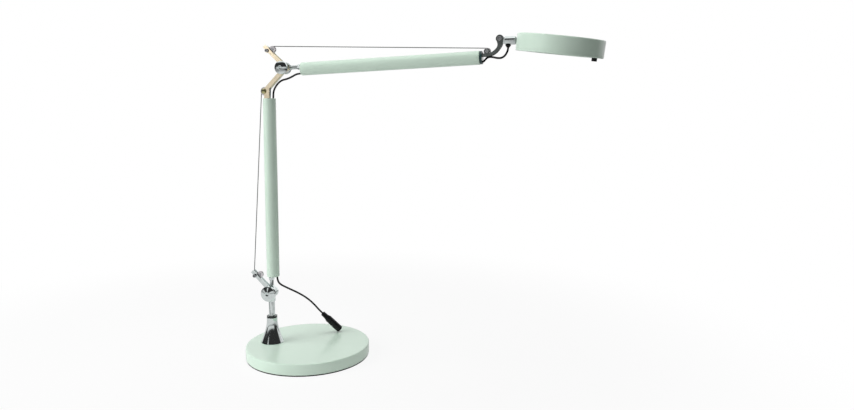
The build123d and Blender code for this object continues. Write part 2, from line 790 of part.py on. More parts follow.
with BuildPart() as knuckle_bolt:
    with BuildSketch(side(KNUCKLE, near=-PLATE_OUT - 2.2)):
        Circle(1.5)
    extrude(amount=2 * PLATE_OUT + 2.6)
    with BuildSketch(side(KNUCKLE, near=PLATE_OUT + 0.02)):
        Circle(3.4)
    extrude(amount=2.0)
    with BuildSketch(side(KNUCKLE, near=PLATE_OUT + 2.02)):
        RegularPolygon(1.8, 6)
    extrude(amount=-1.4, mode=Mode.SUBTRACT)
save(knuckle_bolt.part, "knuckle_bolt")

with BuildPart() as knuckle_nut:
    with BuildSketch(side(KNUCKLE, near=-PLATE_OUT - 0.02)):
        RegularPolygon(2.9, 6, major_radius=False)
        Circle(1.52, mode=Mode.SUBTRACT)
    extrude(amount=-2.4)
save(knuckle_nut.part, "knuckle_nut")

# The upper cable: round the anchor, over the guide wheel and the end pulley, back inside.
high_anchor = shift(PIVOT_HIGH, ANCHOR)
high_guide = shift(PIVOT_HIGH, GUIDE)
climb = tangent_heading(high_anchor, CABLE_ON_ANCHOR, high_guide, CABLE_ON_PULLEY)
along_top = tangent_heading(high_guide, CABLE_ON_PULLEY, END_PULLEY, CABLE_ON_PULLEY)
spring_end = upper_spring_from + upper_spring_long
end_reach = (END_PULLEY[0] - PIVOT_HIGH[0]) * cos(radians(UPPER_ANGLE)) + (
    END_PULLEY[1] - PIVOT_HIGH[1]
) * sin(radians(UPPER_ANGLE))
upper_cable = cable(
    [
        (high_anchor, CABLE_ON_ANCHOR, climb + 90 + 95, climb + 90),
        (high_guide, CABLE_ON_PULLEY, climb + 90, along_top + 90),
        (END_PULLEY, CABLE_ON_PULLEY, along_top + 90, UPPER_ANGLE - 90),
    ],
    end_reach - spring_end - 0.1,
)
save(upper_cable, "upper_cable")

# ================================================================ knuckle and stub
with BuildPart() as knuckle_stub:
    with BuildSketch(side(KNUCKLE)):
        Circle(5.4)
    extrude(amount=PLATE_GAP - 0.08, both=True)
    with BuildSketch(side(((KNUCKLE[0] + STUB_START) / 2 + 0.5, STUB_HEIGHT))):
        Rectangle(STUB_START - KNUCKLE[0] + 1.0, 8.6)
    extrude(amount=PLATE_GAP - 0.08, both=True)
    with BuildSketch(Plane(origin=world(STUB_START, STUB_HEIGHT), x_dir=(0, 1, 0), z_dir=(1, 0, 0))):
        Circle(STUB_RADIUS)
    extrude(amount=STUB_END - STUB_START)
    fillet(knuckle_stub.edges().filter_by(GeomType.CIRCLE).group_by(SortBy.RADIUS)[-1], 0.5)
    with BuildSketch(Plane(origin=world(STUB_END, STUB_HEIGHT), x_dir=(0, 1, 0), z_dir=(-1, 0, 0))):
        Circle(4.05)
    extrude(amount=13.0, mode=Mode.SUBTRACT)
    with BuildSketch(side(KNUCKLE)):
        Circle(1.5 + RUN_GAP)
    extrude(amount=10, both=True, mode=Mode.SUBTRACT)
    with BuildSketch(Plane(origin=world(385.3, STUB_HEIGHT - 9), z_dir=(0, 0, 1))):
        Circle(1.9)
    extrude(amount=7.0, mode=Mode.SUBTRACT)
save(knuckle_stub.part, "knuckle_stub")

grommet_top = STUB_HEIGHT - STUB_RADIUS - 0.02
with BuildPart() as lead_grommet:
    with BuildSketch(Plane(origin=world(385.3, grommet_top), z_dir=(0, 0, -1))):
        Circle(4.0)
    extrude(amount=2.4)
    with BuildSketch(Plane(origin=world(385.3, grommet_top - 2.4), z_dir=(0, 0, -1))):
        Circle(2.7)
    extrude(amount=1.4)
    with BuildSketch(Plane(origin=world(385.3, grommet_top - 5), z_dir=(0, 0, 1))):
        Circle(LEAD_RADIUS + 0.05)
    extrude(amount=8, mode=Mode.SUBTRACT)
    with BuildSketch(Plane(origin=world(STUB_START, STUB_HEIGHT), x_dir=(0, 1, 0), z_dir=(1, 0, 0))):
        Circle(STUB_RADIUS + 0.02)
    extrude(amount=12, mode=Mode.SUBTRACT)
save(lead_grommet.part, "lead_grommet")

# ================================================================ head
pitch, roll = radians(HEAD_PITCH), radians(HEAD_ROLL)
head_up = Vector(sin(pitch) * cos(roll), sin(roll), cos(pitch) * cos(roll))
level_out = Vector(1, 0, 0) - head_up * head_up.X
head_foot = Plane(
    origin=world(HEAD_FOOT_CENTRE[0], HEAD_FOOT_CENTRE[1]), x_dir=level_out, z_dir=head_up
)

with BuildPart() as head_shell:
    with BuildSketch(head_foot.offset(RING_THICK + 0.25)):
        Circle(HEAD_RADIUS)
    extrude(amount=HEAD_THICK - RING_THICK - 0.25)
    top_edge = head_shell.edges().filter_by(GeomType.CIRCLE).sort_by(lambda e: e.center().Z)[-1]
    fillet(top_edge, HEAD_EDGE_ROUND)
    with BuildSketch(head_foot.offset(RING_THICK + 0.25)):
        Circle(HEAD_RADIUS - HEAD_SKIN)
    extrude(amount=HEAD_THICK - RING_THICK - 0.25 - HEAD_SKIN, mode=Mode.SUBTRACT)
    with BuildSketch(Plane(origin=world(STUB_END, STUB_HEIGHT), x_dir=(0, 1, 0), z_dir=(1, 0, 0))):
        Circle(4.02)
    extrude(amount=12, mode=Mode.SUBTRACT)
save(head_shell.part, "head_shell")

with BuildPart() as head_spigot:
    with BuildSketch(Plane(origin=world(SPIGOT_START, STUB_HEIGHT), x_dir=(0, 1, 0), z_dir=(1, 0, 0))):
        Circle(4.0)
    extrude(amount=STUB_END + 6.8 - SPIGOT_START)
    with BuildSketch(Plane(origin=world(STUB_END + 0.1, STUB_HEIGHT), x_dir=(0, 1, 0), z_dir=(1, 0, 0))):
        Circle(5.2)
    extrude(amount=0.8)
    with BuildSketch(Plane(origin=world(STUB_END + 5.3, STUB_HEIGHT), x_dir=(0, 1, 0), z_dir=(1, 0, 0))):
        RegularPolygon(6.0, 6)
    extrude(amount=2.6)
    with BuildSketch(Plane(origin=world(SPIGOT_START - 1, STUB_HEIGHT), x_dir=(0, 1, 0), z_dir=(1, 0, 0))):
        Circle(2.0)
    extrude(amount=22, mode=Mode.SUBTRACT)
save(head_spigot.part, "head_spigot")

with BuildPart() as lens_ring:
    with BuildSketch(head_foot):
        Circle(HEAD_RADIUS)
        Circle(WINDOW_RADIUS, mode=Mode.SUBTRACT)
        with Locations((BUTTON_REACH, 0)):
            Circle(BUTTON_RADIUS + 0.3, mode=Mode.SUBTRACT)
    extrude(amount=RING_THICK)
    outer = lens_ring.edges().filter_by(GeomType.CIRCLE).group_by(SortBy.RADIUS)[-1]
    fillet(outer.sort_by(lambda e: e.center().Z)[0], 0.9)
    with BuildSketch(head_foot.offset(1.4)):
        Circle(WINDOW_RADIUS + 1.2)
    extrude(amount=RING_THICK, mode=Mode.SUBTRACT)
save(lens_ring.part, "lens_ring")

with BuildPart() as diffuser:
    with BuildSketch(head_foot.offset(1.45)):
        Circle(WINDOW_RADIUS + 1.1)
    extrude(amount=1.5)
save(diffuser.part, "diffuser")

with BuildPart() as led_board:
    with BuildSketch(head_foot.offset(14.0)):
        Circle(38.0)
    extrude(amount=1.6)
    with BuildSketch(head_foot.offset(14.0)):
        with PolarLocations(28.0, 12):
            Rectangle(5.0, 5.0)
        with PolarLocations(15.0, 6):
            Rectangle(5.0, 5.0)
    extrude(amount=-0.9)
    with BuildSketch(head_foot.offset(15.6)):
        with PolarLocations(24.0, 3):
            Circle(3.0)
    extrude(amount=HEAD_THICK - HEAD_SKIN - 15.62)
save(led_board.part, "led_board")

with BuildPart() as switch_body:
    with BuildSketch(head_foot.offset(RING_THICK + 0.02)):
        with Locations((BUTTON_REACH + 0.5, 0)):
            Rectangle(12.0, 12.0)
    extrude(amount=9.0)
    with BuildSketch(head_foot.offset(RING_THICK)):
        with Locations((BUTTON_REACH, 0)):
            Circle(BUTTON_RADIUS + 0.3)
    extrude(amount=4.6, mode=Mode.SUBTRACT)
save(switch_body.part, "switch_body")

with BuildPart() as switch_button:
    with BuildSketch(head_foot.offset(-BUTTON_PROUD)):
        with Locations((BUTTON_REACH, 0)):
            Circle(BUTTON_RADIUS)
    extrude(amount=BUTTON_PROUD + RING_THICK + 2.6)
    foot = switch_button.edges().filter_by(GeomType.CIRCLE).sort_by(lambda e: e.center().Z)[0]
    fillet(foot, 0.6)
save(switch_button.part, "switch_button")

# ================================================================ leads
# The supply lead leaves the lower tube's foot and droops back over the base.
SUPPLY_ROUTE = [
    (10.5, 0.0, 132.6), (10.6, 0.2, 124.2), (13.8, 2.0, 116.4), (22.7, 12.0, 108.0), (33.7, 25.0, 98.0),
    (44.9, 38.0, 86.1), (54.4, 48.0, 72.3), (61.5, 53.9, 60.3), (69.5, 59.2, 50.1),
]
# The elbow lead crosses from the lower tube's top to the upper tube's underside.
ELBOW_ROUTE = [
    (10.5, 0.0, 412.0), (10.6, 0.0, 422.0), (11.4, 0.0, 432.4), (17.2, 0.0, 441.6), (25.4, 0.0, 448.4),
    (34.4, 0.0, 450.0), (43.6, 0.0, 453.6), (50.8, 0.0, 457.6), (59.0, 0.0, 458.7), (66.0, 0.0, 459.0),
]
# The head lead leaves the upper tube's end and rises into the grommet under the stub.
HEAD_ROUTE = [
    (337.6, 0.0, 470.8), (343.6, 0.0, 471.1), (349.4, 0.0, 471.9), (352.0, 0.0, 475.4),
    (356.0, 0.0, 478.6), (362.6, 0.0, 478.5), (369.6, 0.0, 476.7), (376.0, 0.0, 476.8),
    (381.0, 0.0, 480.2), (384.0, 0.0, 485.4), (385.3, 0.0, 490.0), (385.3, 0.0, 494.4),
]


def placed(route):
    """A route given from the stem's axis, in the row frame."""
    return [world(x, z, y) for x, y, z in route]


save(lead("supply_lead", placed(SUPPLY_ROUTE)), "supply_lead")
save(lead("elbow_lead", placed(ELBOW_ROUTE)), "elbow_lead")
save(lead("head_lead", placed(HEAD_ROUTE)), "head_lead")

# The plug-in connector on the supply lead: a slim sleeve, a swell and a round body.
lead_end = Vector(*placed(SUPPLY_ROUTE)[-1])
connector_heading = (lead_end - Vector(*placed(SUPPLY_ROUTE)[-2])).normalized()
tail = lead_end - connector_heading * LEAD_INSIDE_CONNECTOR
tip = tail + connector_heading * CONNECTOR_LENGTH
lowest = tip.Z - CONNECTOR_RADIUS * sqrt(1 - connector_heading.Z**2)
print("connector's lowest edge", round(lowest, 2))
with BuildPart() as supply_connector:
    lie = Plane(origin=tail, x_dir=connector_heading, z_dir=connector_heading.cross(Vector(0, 0, 1)))
    with BuildSketch(lie):
        with BuildLine():
            Polyline((0, 0), (0, 4.0), (9.0, 4.4), (14.0, CONNECTOR_RADIUS),
                     (CONNECTOR_LENGTH, CONNECTOR_RADIUS), (CONNECTOR_LENGTH, 0), close=True)
        make_face()
    revolve(axis=Axis(tail, connector_heading))
    with BuildSketch(Plane(origin=tip, z_dir=-connector_heading)):
        Circle(SOCKET_BORE)
        Circle(0.65, mode=Mode.SUBTRACT)
    extrude(amount=SOCKET_DEPTH, mode=Mode.SUBTRACT)
    with BuildSketch(Plane(origin=tail, z_dir=connector_heading)):
        Circle(LEAD_RADIUS + 0.02)
    extrude(amount=LEAD_INSIDE_CONNECTOR + 0.05, mode=Mode.SUBTRACT)
save(supply_connector.part, "supply_connector")
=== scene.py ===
"""A small spring-balanced desk lamp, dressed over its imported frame.

Lengths in this file are millimetres unless a name says otherwise, and meshes are
written in metres. The row frame has its origin at the centre of the base's
underside, +X along the arms and +Z up. The arms' own plane passes through the
stem's axis, and "near" is the side of that plane towards the viewer. Points in
that plane are (x, z) from the stem's axis and the table.
"""

import json
import logging
import math
from dataclasses import dataclass, field
from enum import Enum
from typing import Any, Sequence

import bmesh
import bpy
import numpy as np
from mathutils import Matrix

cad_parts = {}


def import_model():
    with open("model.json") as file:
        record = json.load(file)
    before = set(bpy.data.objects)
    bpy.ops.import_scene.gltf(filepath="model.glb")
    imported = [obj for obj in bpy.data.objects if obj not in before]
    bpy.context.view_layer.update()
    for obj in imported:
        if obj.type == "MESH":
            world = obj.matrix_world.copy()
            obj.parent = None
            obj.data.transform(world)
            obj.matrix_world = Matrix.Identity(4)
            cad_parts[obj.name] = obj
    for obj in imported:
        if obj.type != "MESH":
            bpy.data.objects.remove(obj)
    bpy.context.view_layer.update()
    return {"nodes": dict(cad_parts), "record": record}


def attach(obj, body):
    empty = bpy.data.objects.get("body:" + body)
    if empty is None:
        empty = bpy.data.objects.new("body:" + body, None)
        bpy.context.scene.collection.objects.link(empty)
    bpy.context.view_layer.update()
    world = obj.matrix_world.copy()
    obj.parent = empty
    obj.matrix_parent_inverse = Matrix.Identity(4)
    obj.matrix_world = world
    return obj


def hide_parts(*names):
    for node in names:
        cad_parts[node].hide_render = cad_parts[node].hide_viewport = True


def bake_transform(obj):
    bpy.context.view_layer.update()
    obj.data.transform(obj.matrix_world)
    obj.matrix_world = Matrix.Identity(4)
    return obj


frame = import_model()

logging.basicConfig(level=logging.INFO, format="%(name)s: %(message)s")
log = logging.getLogger("lamp")

Array = np.ndarray
Colour = tuple[float, float, float]
MM = 0.001
TURN = 2 * math.pi
WELD = 2e-6
SMOOTH_UNDER = 38.0
BLACK: Colour = (0.0, 0.0, 0.0)
WHITE: Colour = (1.0, 1.0, 1.0)
NODE_BODY = {
    node: body for body, nodes in frame["record"]["behaviour"]["bodies"].items() for node in nodes
}

STEM = np.array([-59.4, -9.2])
PIVOT_LOW = np.array([-0.8, 102.0])
PIVOT_HIGH = np.array([30.0, 467.6])
ANCHOR = np.array([-26.5, 27.5])
GUIDE = np.array([-18.5, 29.4])
BEND = np.array([-3.4, 431.2])
END_WHEEL = np.array([354.7, 486.6])
UPPER_ANGLE = math.radians(2.465)
CABLE_RADIUS = 0.65
LEAD_RADIUS = 1.5
PLATE_FACE = 4.62


# ------------------------------------------------------------------ places
@dataclass(frozen=True)
class Place:
    """A spot with its own axes, in millimetres in the row frame.

    Attributes:
        spot: the local origin.
        across: the local x axis.
        up: the local y axis.
        out: the local z axis, along which stacked loops are piled.
    """

    spot: Array
    across: Array
    up: Array
    out: Array

    def put(self, local: Array) -> Array:
        """Takes local points, three numbers each on the last axis, to metres in the row frame."""
        axes = np.stack([self.across, self.up, self.out])
        return (self.spot + local @ axes) * MM


def vector(*numbers: float) -> Array:
    """A float array of the numbers."""
    return np.array(numbers, float)


def unit(values: Array) -> Array:
    """The vectors on the last axis, each divided by its length."""
    return values / np.linalg.norm(values, axis=-1, keepdims=True)


def world(x: float, z: float, y: float = 0.0) -> Array:
    """A point given from the stem's axis and the table, in the row frame."""
    return vector(STEM[0] + x, STEM[1] + y, z)


def towards(spot: Array, heading: Array) -> Place:
    """A place whose out axis is the heading, and whose up axis leans to +Z, or to +X if that is upright."""
    out = unit(heading)
    upright_past = 0.9
    helper = vector(1, 0, 0) if abs(out[2]) > upright_past else vector(0, 0, 1)
    across = unit(np.cross(helper, out))
    return Place(spot, across, np.cross(out, across), out)


def facing_viewer(point: Array) -> Place:
    """A place in the arms' plane, given as (x, z), whose out axis points at the viewer."""
    return Place(world(*point), vector(1, 0, 0), vector(0, 0, 1), vector(0, -1, 0))


def facing_away(point: Array) -> Place:
    """A place in the arms' plane, given as (x, z), whose out axis points away from the viewer."""
    return Place(world(*point), vector(-1, 0, 0), vector(0, 0, 1), vector(0, 1, 0))


def along_upper(along: float, square: float) -> Place:
    """A place given along the upper arm and square to it, whose out axis points away from the elbow."""
    cos, sin = math.cos(UPPER_ANGLE), math.sin(UPPER_ANGLE)
    point = PIVOT_HIGH + np.array([along, square]) @ np.array([[cos, sin], [-sin, cos]])
    return towards(world(*point), vector(cos, 0, sin))


def upright(x: float, y: float, z: float = 0.0) -> Place:
    """A place in the row frame whose out axis is straight up."""
    return Place(vector(x, y, z), vector(1, 0, 0), vector(0, 1, 0), vector(0, 0, 1))


# ------------------------------------------------------------------ meshes
def around(radius: Array | float, angle: Array, height: Array | float) -> Array:
    """The points (r cos a, r sin a, h)."""
    return np.stack(np.broadcast_arrays(radius * np.cos(angle), radius * np.sin(angle), height), -1)


def lengths_along(points: Array) -> Array:
    """The length of a line from its first point to each of its points."""
    return np.concatenate([[0.0], np.cumsum(np.linalg.norm(np.diff(points, axis=0), axis=1))])


def grid_faces(rows: int, columns: int, ring: bool) -> Array:
    """The quads of a grid of loops whose columns wrap round, and whose rows do if it is a ring."""
    i = np.arange(rows if ring else rows - 1)[:, None]
    j = np.arange(columns)[None, :]
    here, there = i * columns, (i + 1) % rows * columns
    beside = (j + 1) % columns
    return np.stack([here + j, here + beside, there + beside, there + j], -1).reshape(-1, 4)


def loft(name: str, points: Array, ring: bool = False, crease: float = SMOOTH_UNDER) -> bpy.types.Object:
    """Makes a welded, smooth-shaded piece from loops of points.

    The surface is the bilinear patch between neighbouring loops. A loop of no
    size becomes a pole, because its points are merged, and faces are turned
    outwards afterwards.

    Args:
        name: the piece's name.
        points: an array of loops by points by three, in metres.
        ring: whether the last loop joins the first.
        crease: the angle in degrees past which an edge stays sharp.

    Returns:
        The new piece, which sits at the origin.
    """
    rows, columns = points.shape[:2]
    faces = grid_faces(rows, columns, ring)
    mesh = bpy.data.meshes.new(name)
    mesh.from_pydata(points.reshape(-1, 3).tolist(), [], faces.tolist())
    along = lengths_along(points.mean(axis=1))
    along = np.append(along, along[-1])
    i, j = np.divmod(np.arange(len(faces)), columns)
    u = np.stack([j, j + 1, j + 1, j], -1) / columns
    v = np.stack([along[i], along[i], along[i + 1], along[i + 1]], -1)
    layer = mesh.uv_layers.new(name="along")
    layer.data.foreach_set("uv", np.stack([u, v], -1).astype(np.float32).ravel())
    return settled(name, mesh, crease)


def settled(name: str, mesh: bpy.types.Mesh, crease: float, flat: float = 0.0) -> bpy.types.Object:
    """Welds a mesh, turns its faces outwards, shades it smooth and gives it an object.

    Args:
        name: the piece's name.
        mesh: the mesh, changed in place.
        crease: the angle in degrees past which an edge stays sharp.
        flat: faces that meet at less than this angle in degrees are joined.

    Returns:
        The new piece.
    """
    work = bmesh.new()
    work.from_mesh(mesh)
    bmesh.ops.remove_doubles(work, verts=work.verts, dist=WELD)
    if flat:
        bmesh.ops.dissolve_limit(work, angle_limit=math.radians(flat), verts=work.verts, edges=work.edges)
    bmesh.ops.recalc_face_normals(work, faces=work.faces)
    work.to_mesh(mesh)
    work.free()
    mesh.polygons.foreach_set("use_smooth", np.ones(len(mesh.polygons), bool))
    mesh.set_sharp_from_angle(angle=math.radians(crease))
    piece = bpy.data.objects.new(name, mesh)
    bpy.context.scene.collection.objects.link(piece)
    return piece


def stack(name: str, place: Place, rows: Sequence[Sequence[float]], sides: int = 96,
          ring: bool = False, shift: Array | None = None) -> bpy.types.Object:
    """Piles up round loops, each with its own radius, height and number of flats.

    Loop i is the curve (r cos a, r sin a, h) for an angle a that goes once round.
    Where a row gives a count n of flats, r is divided by the cosine of a's
    distance to the middle of its flat, which makes the loop an n-sided polygon.

    Args:
        name: the piece's name.
        place: where the stack stands; loops are piled along its out axis.
        rows: radius and height of each loop, and optionally its flats.
        sides: how many points each loop has.
        ring: whether the last loop joins the first.
        shift: how far each loop's centre lies from the axis, one pair each.

    Returns:
        The new piece.
    """
    angle = np.arange(sides) / sides * TURN
    radius, height, flats = np.array([(*row, 0)[:3] for row in rows], float).T[..., None]
    sector = TURN / np.maximum(flats, 1)
    off_middle = (angle + sector / 2) % sector - sector / 2
    radius = np.where(flats > 0, radius / np.cos(np.where(flats > 0, off_middle, 0)), radius + 0 * angle)
    local = around(radius, angle, height)
    if shift is not None:
        local[..., :2] += shift[:, None, :]
    return loft(name, place.put(local), ring)


def rounded(corners: Sequence[tuple[float, ...]], steps: int = 5) -> list[tuple[float, float]]:
    """A profile whose corners are replaced by arcs.

    Each inner corner with a radius is left and met again at radius times the
    tangent of half the turn, and the arc between follows the circle that
    touches both runs there.

    Args:
        corners: (radius from axis, height) of each corner, and optionally its rounding.
        steps: how many runs each arc has.

    Returns:
        The points of the profile.
    """
    def turn(before: Array, after: Array) -> float:
        """The angle between two directions of length one."""
        return math.acos(max(-1.0, min(1.0, float(before @ after))))

    points: list[tuple[float, float]] = []
    for number, corner in enumerate(corners):
        here = np.array(corner[:2], float)
        if len(corner) < 3 or number in (0, len(corners) - 1):
            points.append(tuple(here))
            continue
        back = unit(np.array(corners[number - 1][:2]) - here)
        ahead = unit(np.array(corners[number + 1][:2]) - here)
        half = turn(back, ahead) / 2
        reach = corner[2] / math.tan(half)
        centre = here + unit(back + ahead) * (corner[2] / math.sin(half))
        first, last = here + back * reach - centre, here + ahead * reach - centre
        share = np.linspace(0, 1, steps + 1)[:, None]
        swing = turn(unit(first), unit(last))
        arc = (np.sin((1 - share) * swing) * first + np.sin(share * swing) * last) / math.sin(swing)
        points.extend(map(tuple, centre + arc))
    return points


def sweep(name: str, path: Array, radius: float, reference: Array, sides: int,
          lobes: int = 0, pitch: float = 1.0, hollow: float = 0.16) -> bpy.types.Object:
    """Carries a round or lobed section along a path, and closes both ends.

    At each point the section's first axis is the reference made square to the
    path, and its second is the cross product of the path's direction and the
    first. With lobes, the radius is r (1 - d |sin(n (a - s / pitch) / 2)|^4) for
    the angle a, the length s along the path and a hollow d, so that n strands
    wind round once every pitch.

    Args:
        name: the piece's name.
        path: the centreline, in metres.
        radius: the section's radius in metres.
        reference: a direction that the path never takes.
        sides: how many points the section has.
        lobes: how many strands show, or 0 for a plain round.
        pitch: the length in metres in which a strand winds once.
        hollow: the depth between two strands, as a share of the radius.

    Returns:
        The new piece.
    """
    heading = unit(np.gradient(path, axis=0))
    first = unit(reference - (heading @ reference)[:, None] * heading)
    second = np.cross(heading, first)
    angle = np.arange(sides) / sides * TURN
    size = radius * np.ones((len(path), sides))
    if lobes:
        wind = lobes * (angle - lengths_along(path)[:, None] / pitch * TURN) / 2
        size = size * (1 - hollow * np.abs(np.sin(wind)) ** 4)
    round_ = first[:, None] * np.cos(angle)[:, None] + second[:, None] * np.sin(angle)[:, None]
    loops = path[:, None] + round_ * size[..., None]
    ends = [np.repeat(path[end][None, None], sides, axis=1) for end in (0, -1)]
    return loft(name, np.concatenate([ends[0], loops, ends[1]]), crease=50.0)


def eased(node: str, width: float) -> bpy.types.Object:
    """A merged copy of a machined part, with its edges eased by a bevel of that many millimetres."""
    name = f"{node}_eased"
    mesh = frame["nodes"][node].data.copy()
    mesh.name = name
    piece = settled(name, mesh, 32.0, flat=0.6)
    bevel = piece.modifiers.new("eased edges", "BEVEL")
    bevel.width = width * MM
    bevel.segments = 2
    bevel.limit_method = "ANGLE"
    bevel.angle_limit = math.radians(SMOOTH_UNDER)
    bevel.harden_normals = False
    return piece


def settle(piece: bpy.types.Object, finish: "Finish", slot: str, *nodes: str,
           body: str | None = None) -> bpy.types.Object:
    """Gives a piece its finish, says what it stands for, and makes it ride.

    Args:
        piece: the piece.
        finish: its finish.
        slot: the record's material slot; not used.
        nodes: the machined parts that it stands for.
        body: the body it rides on, or None to take the first part's body. An empty word leaves it free.

    Returns:
        The same piece.
    """
    piece.data.materials.clear()
    piece.data.materials.append(finish.material())
    if nodes:
        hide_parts(*nodes)
    body = NODE_BODY[nodes[0]] if body is None else body
    if body:
        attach(piece, body)
    log.info("%s: %d points, on %s, for %s", piece.name, len(piece.data.vertices),
             body or "two bodies", ", ".join(nodes) or "nothing")
    return piece


def repaint(finish: "Finish", *nodes: str) -> None:
    """Puts a finish on machined parts that keep their own shape."""
    for node in nodes:
        data = frame["nodes"][node].data
        data.materials.clear()
        data.materials.append(finish.material())
        log.info("%s: repainted", node)


def dress(finish: "Finish", slot: str, width: float, *nodes: str) -> None:
    """Stands an eased copy in for each machined part."""
    for node in nodes:
        settle(eased(node, width), finish, slot, node)


# ------------------------------------------------------------------ shader maths
class Value:
    """A shader socket that carries a number, so that shader maths reads as maths."""

    def __init__(self, sheet: "Sheet", socket: bpy.types.NodeSocket) -> None:
        """Wraps one output socket of a sheet's nodes."""
        self.sheet = sheet
        self.socket = socket

    def _maths(self, operation: str, first: Any, second: Any) -> "Value":
        """Adds one Math node."""
        return self.sheet.node("ShaderNodeMath", {"operation": operation}, {0: first, 1: second})

    def __add__(self, other: Any) -> "Value":
        """self + other."""
        return self._maths("ADD", self, other)

    def __sub__(self, other: Any) -> "Value":
        """self - other."""
        return self._maths("SUBTRACT", self, other)

    def __rsub__(self, other: Any) -> "Value":
        """other - self."""
        return self._maths("SUBTRACT", other, self)

    def __mul__(self, other: Any) -> "Value":
        """self * other."""
        return self._maths("MULTIPLY", self, other)

    __radd__ = __add__
    __rmul__ = __mul__

    def step(self, low: float, high: float) -> "Value":
        """0 below low, 1 above high, and a smooth rise between them."""
        settings = {"interpolation_type": "SMOOTHSTEP"}
        return self.sheet.node("ShaderNodeMapRange", settings, {0: self, 1: low, 2: high})


class Sheet:
    """The nodes of one material, or of the world."""

    def __init__(self, owner: bpy.types.Material | bpy.types.World) -> None:
        """Clears the owner's nodes."""
        owner.use_nodes = True
        self.owner = owner
        self.tree = owner.node_tree
        self.tree.nodes.clear()

    def node(self, kind: str, settings: dict[str, Any] | None = None,
             inputs: dict[int | str, Any] | None = None, output: int | str = 0) -> Value | None:
        """Adds one node.

        Args:
            kind: the node's type.
            settings: the node's own properties, set first.
            inputs: values or links of its sockets, by name or number.
            output: the output socket to return.

        Returns:
            That output, wrapped, or nothing for a node that has none.
        """
        made = self.tree.nodes.new(kind)
        for key, value in (settings or {}).items():
            setattr(made, key, value)
        for key, value in (inputs or {}).items():
            if isinstance(value, Value):
                self.tree.links.new(value.socket, made.inputs[key])
            else:
                made.inputs[key].default_value = value
        return Value(self, made.outputs[output]) if made.outputs else None

    def place(self) -> Value:
        """Object coordinates."""
        return self.node("ShaderNodeTexCoord", output="Object")

    def noise(self, scale: float, detail: float, stretch: Sequence[float] = (1, 1, 1),
              where: Value | None = None) -> Value:
        """Cloud noise from 0 to 1.

        Args:
            scale: features per metre, roughly.
            detail: octaves.
            stretch: how much each axis is scaled first.
            where: the coordinates, or None for Object coordinates.

        Returns:
            The noise.
        """
        spot = self.node("ShaderNodeMapping", None, {"Vector": where or self.place(), "Scale": stretch})
        return self.node("ShaderNodeTexNoise", None, {"Vector": spot, "Scale": scale, "Detail": detail})

    def blend(self, share: Any, first: Any, second: Any) -> Value:
        """Mixes two colours, three or four numbers each or links."""
        full = [c if isinstance(c, Value) else (*c[:3], 1) for c in (first, second)]
        settings = {"data_type": "RGBA"}
        return self.node("ShaderNodeMix", settings, {0: share, 6: full[0], 7: full[1]}, output=2)

    def bump(self, height: Value, depth: float, strength: float) -> Value:
        """A bumped normal, with its depth in metres."""
        inputs = {"Height": height, "Distance": depth, "Strength": strength}
        return self.node("ShaderNodeBump", None, inputs)

    def axis(self, where: Value, name: str) -> Value:
        """One number of a vector."""
        return self.node("ShaderNodeSeparateXYZ", None, {0: where}, output=name)

    def ray(self, kind: str) -> Value:
        """1 on rays of that kind, and 0 on others."""
        return self.node("ShaderNodeLightPath", output=f"Is {kind} Ray")

    def white(self, kind: str, brightness: Value) -> Value:
        """White light of that brightness, from an Emission or Background node."""
        return self.node(kind, None, {"Color": self.blend(brightness, BLACK, WHITE), "Strength": 1.0})

    def end(self, kind: str, surface: Value) -> None:
        """Ends the nodes in an output node of that kind."""
        self.node(kind, None, {"Surface": surface})


# ------------------------------------------------------------------ finishes
@dataclass(frozen=True)
class Finish:
    """What a piece is made of and how its surface looks.

    Attributes:
        name: the material's name.
        colour: its main colour, linear.
    """

    name: str
    colour: Colour

    def material(self) -> bpy.types.Material:
        """The material, made at its first use."""
        known = bpy.data.materials.get(self.name)
        if known:
            return known
        sheet = Sheet(bpy.data.materials.new(self.name))
        shader = sheet.node("ShaderNodeBsdfPrincipled", None, self.look(sheet))
        sheet.end("ShaderNodeOutputMaterial", shader)
        return sheet.owner

    def look(self, sheet: Sheet) -> dict[int | str, Any]:
        """The Principled shader's inputs."""
        raise NotImplementedError

    def shaded(self, factor: float) -> Colour:
        """The colour made darker or lighter."""
        return tuple(min(1.0, part * factor) for part in self.colour)


@dataclass(frozen=True)
class Enamel(Finish):
    """Stoved gloss enamel: faint orange peel, uneven gloss and a few dull marks."""

    gloss: float = 0.2
    speck: Colour = (0.42, 0.42, 0.38)

    def look(self, sheet: Sheet) -> dict[int | str, Any]:
        """The Principled shader's inputs."""
        cloud = sheet.noise(9, 3)
        marks = sheet.noise(75, 5).step(0.56, 0.74)
        specks = sheet.noise(1900, 1).step(0.78, 0.86)
        tint = sheet.blend(cloud.step(0.3, 0.7), self.colour, self.shaded(0.965))
        tint = sheet.blend(specks * 0.25, tint, self.speck)
        peel = sheet.noise(520, 2) + sheet.noise(1700, 1) * 0.2
        return {
            "Base Color": tint,
            "Roughness": self.gloss + marks * 0.06 + cloud * 0.05,
            "Normal": sheet.bump(peel, 0.00004, 0.5),
            "Coat Weight": 0.2,
            "Coat Roughness": 0.1,
            "IOR": 1.5,
        }


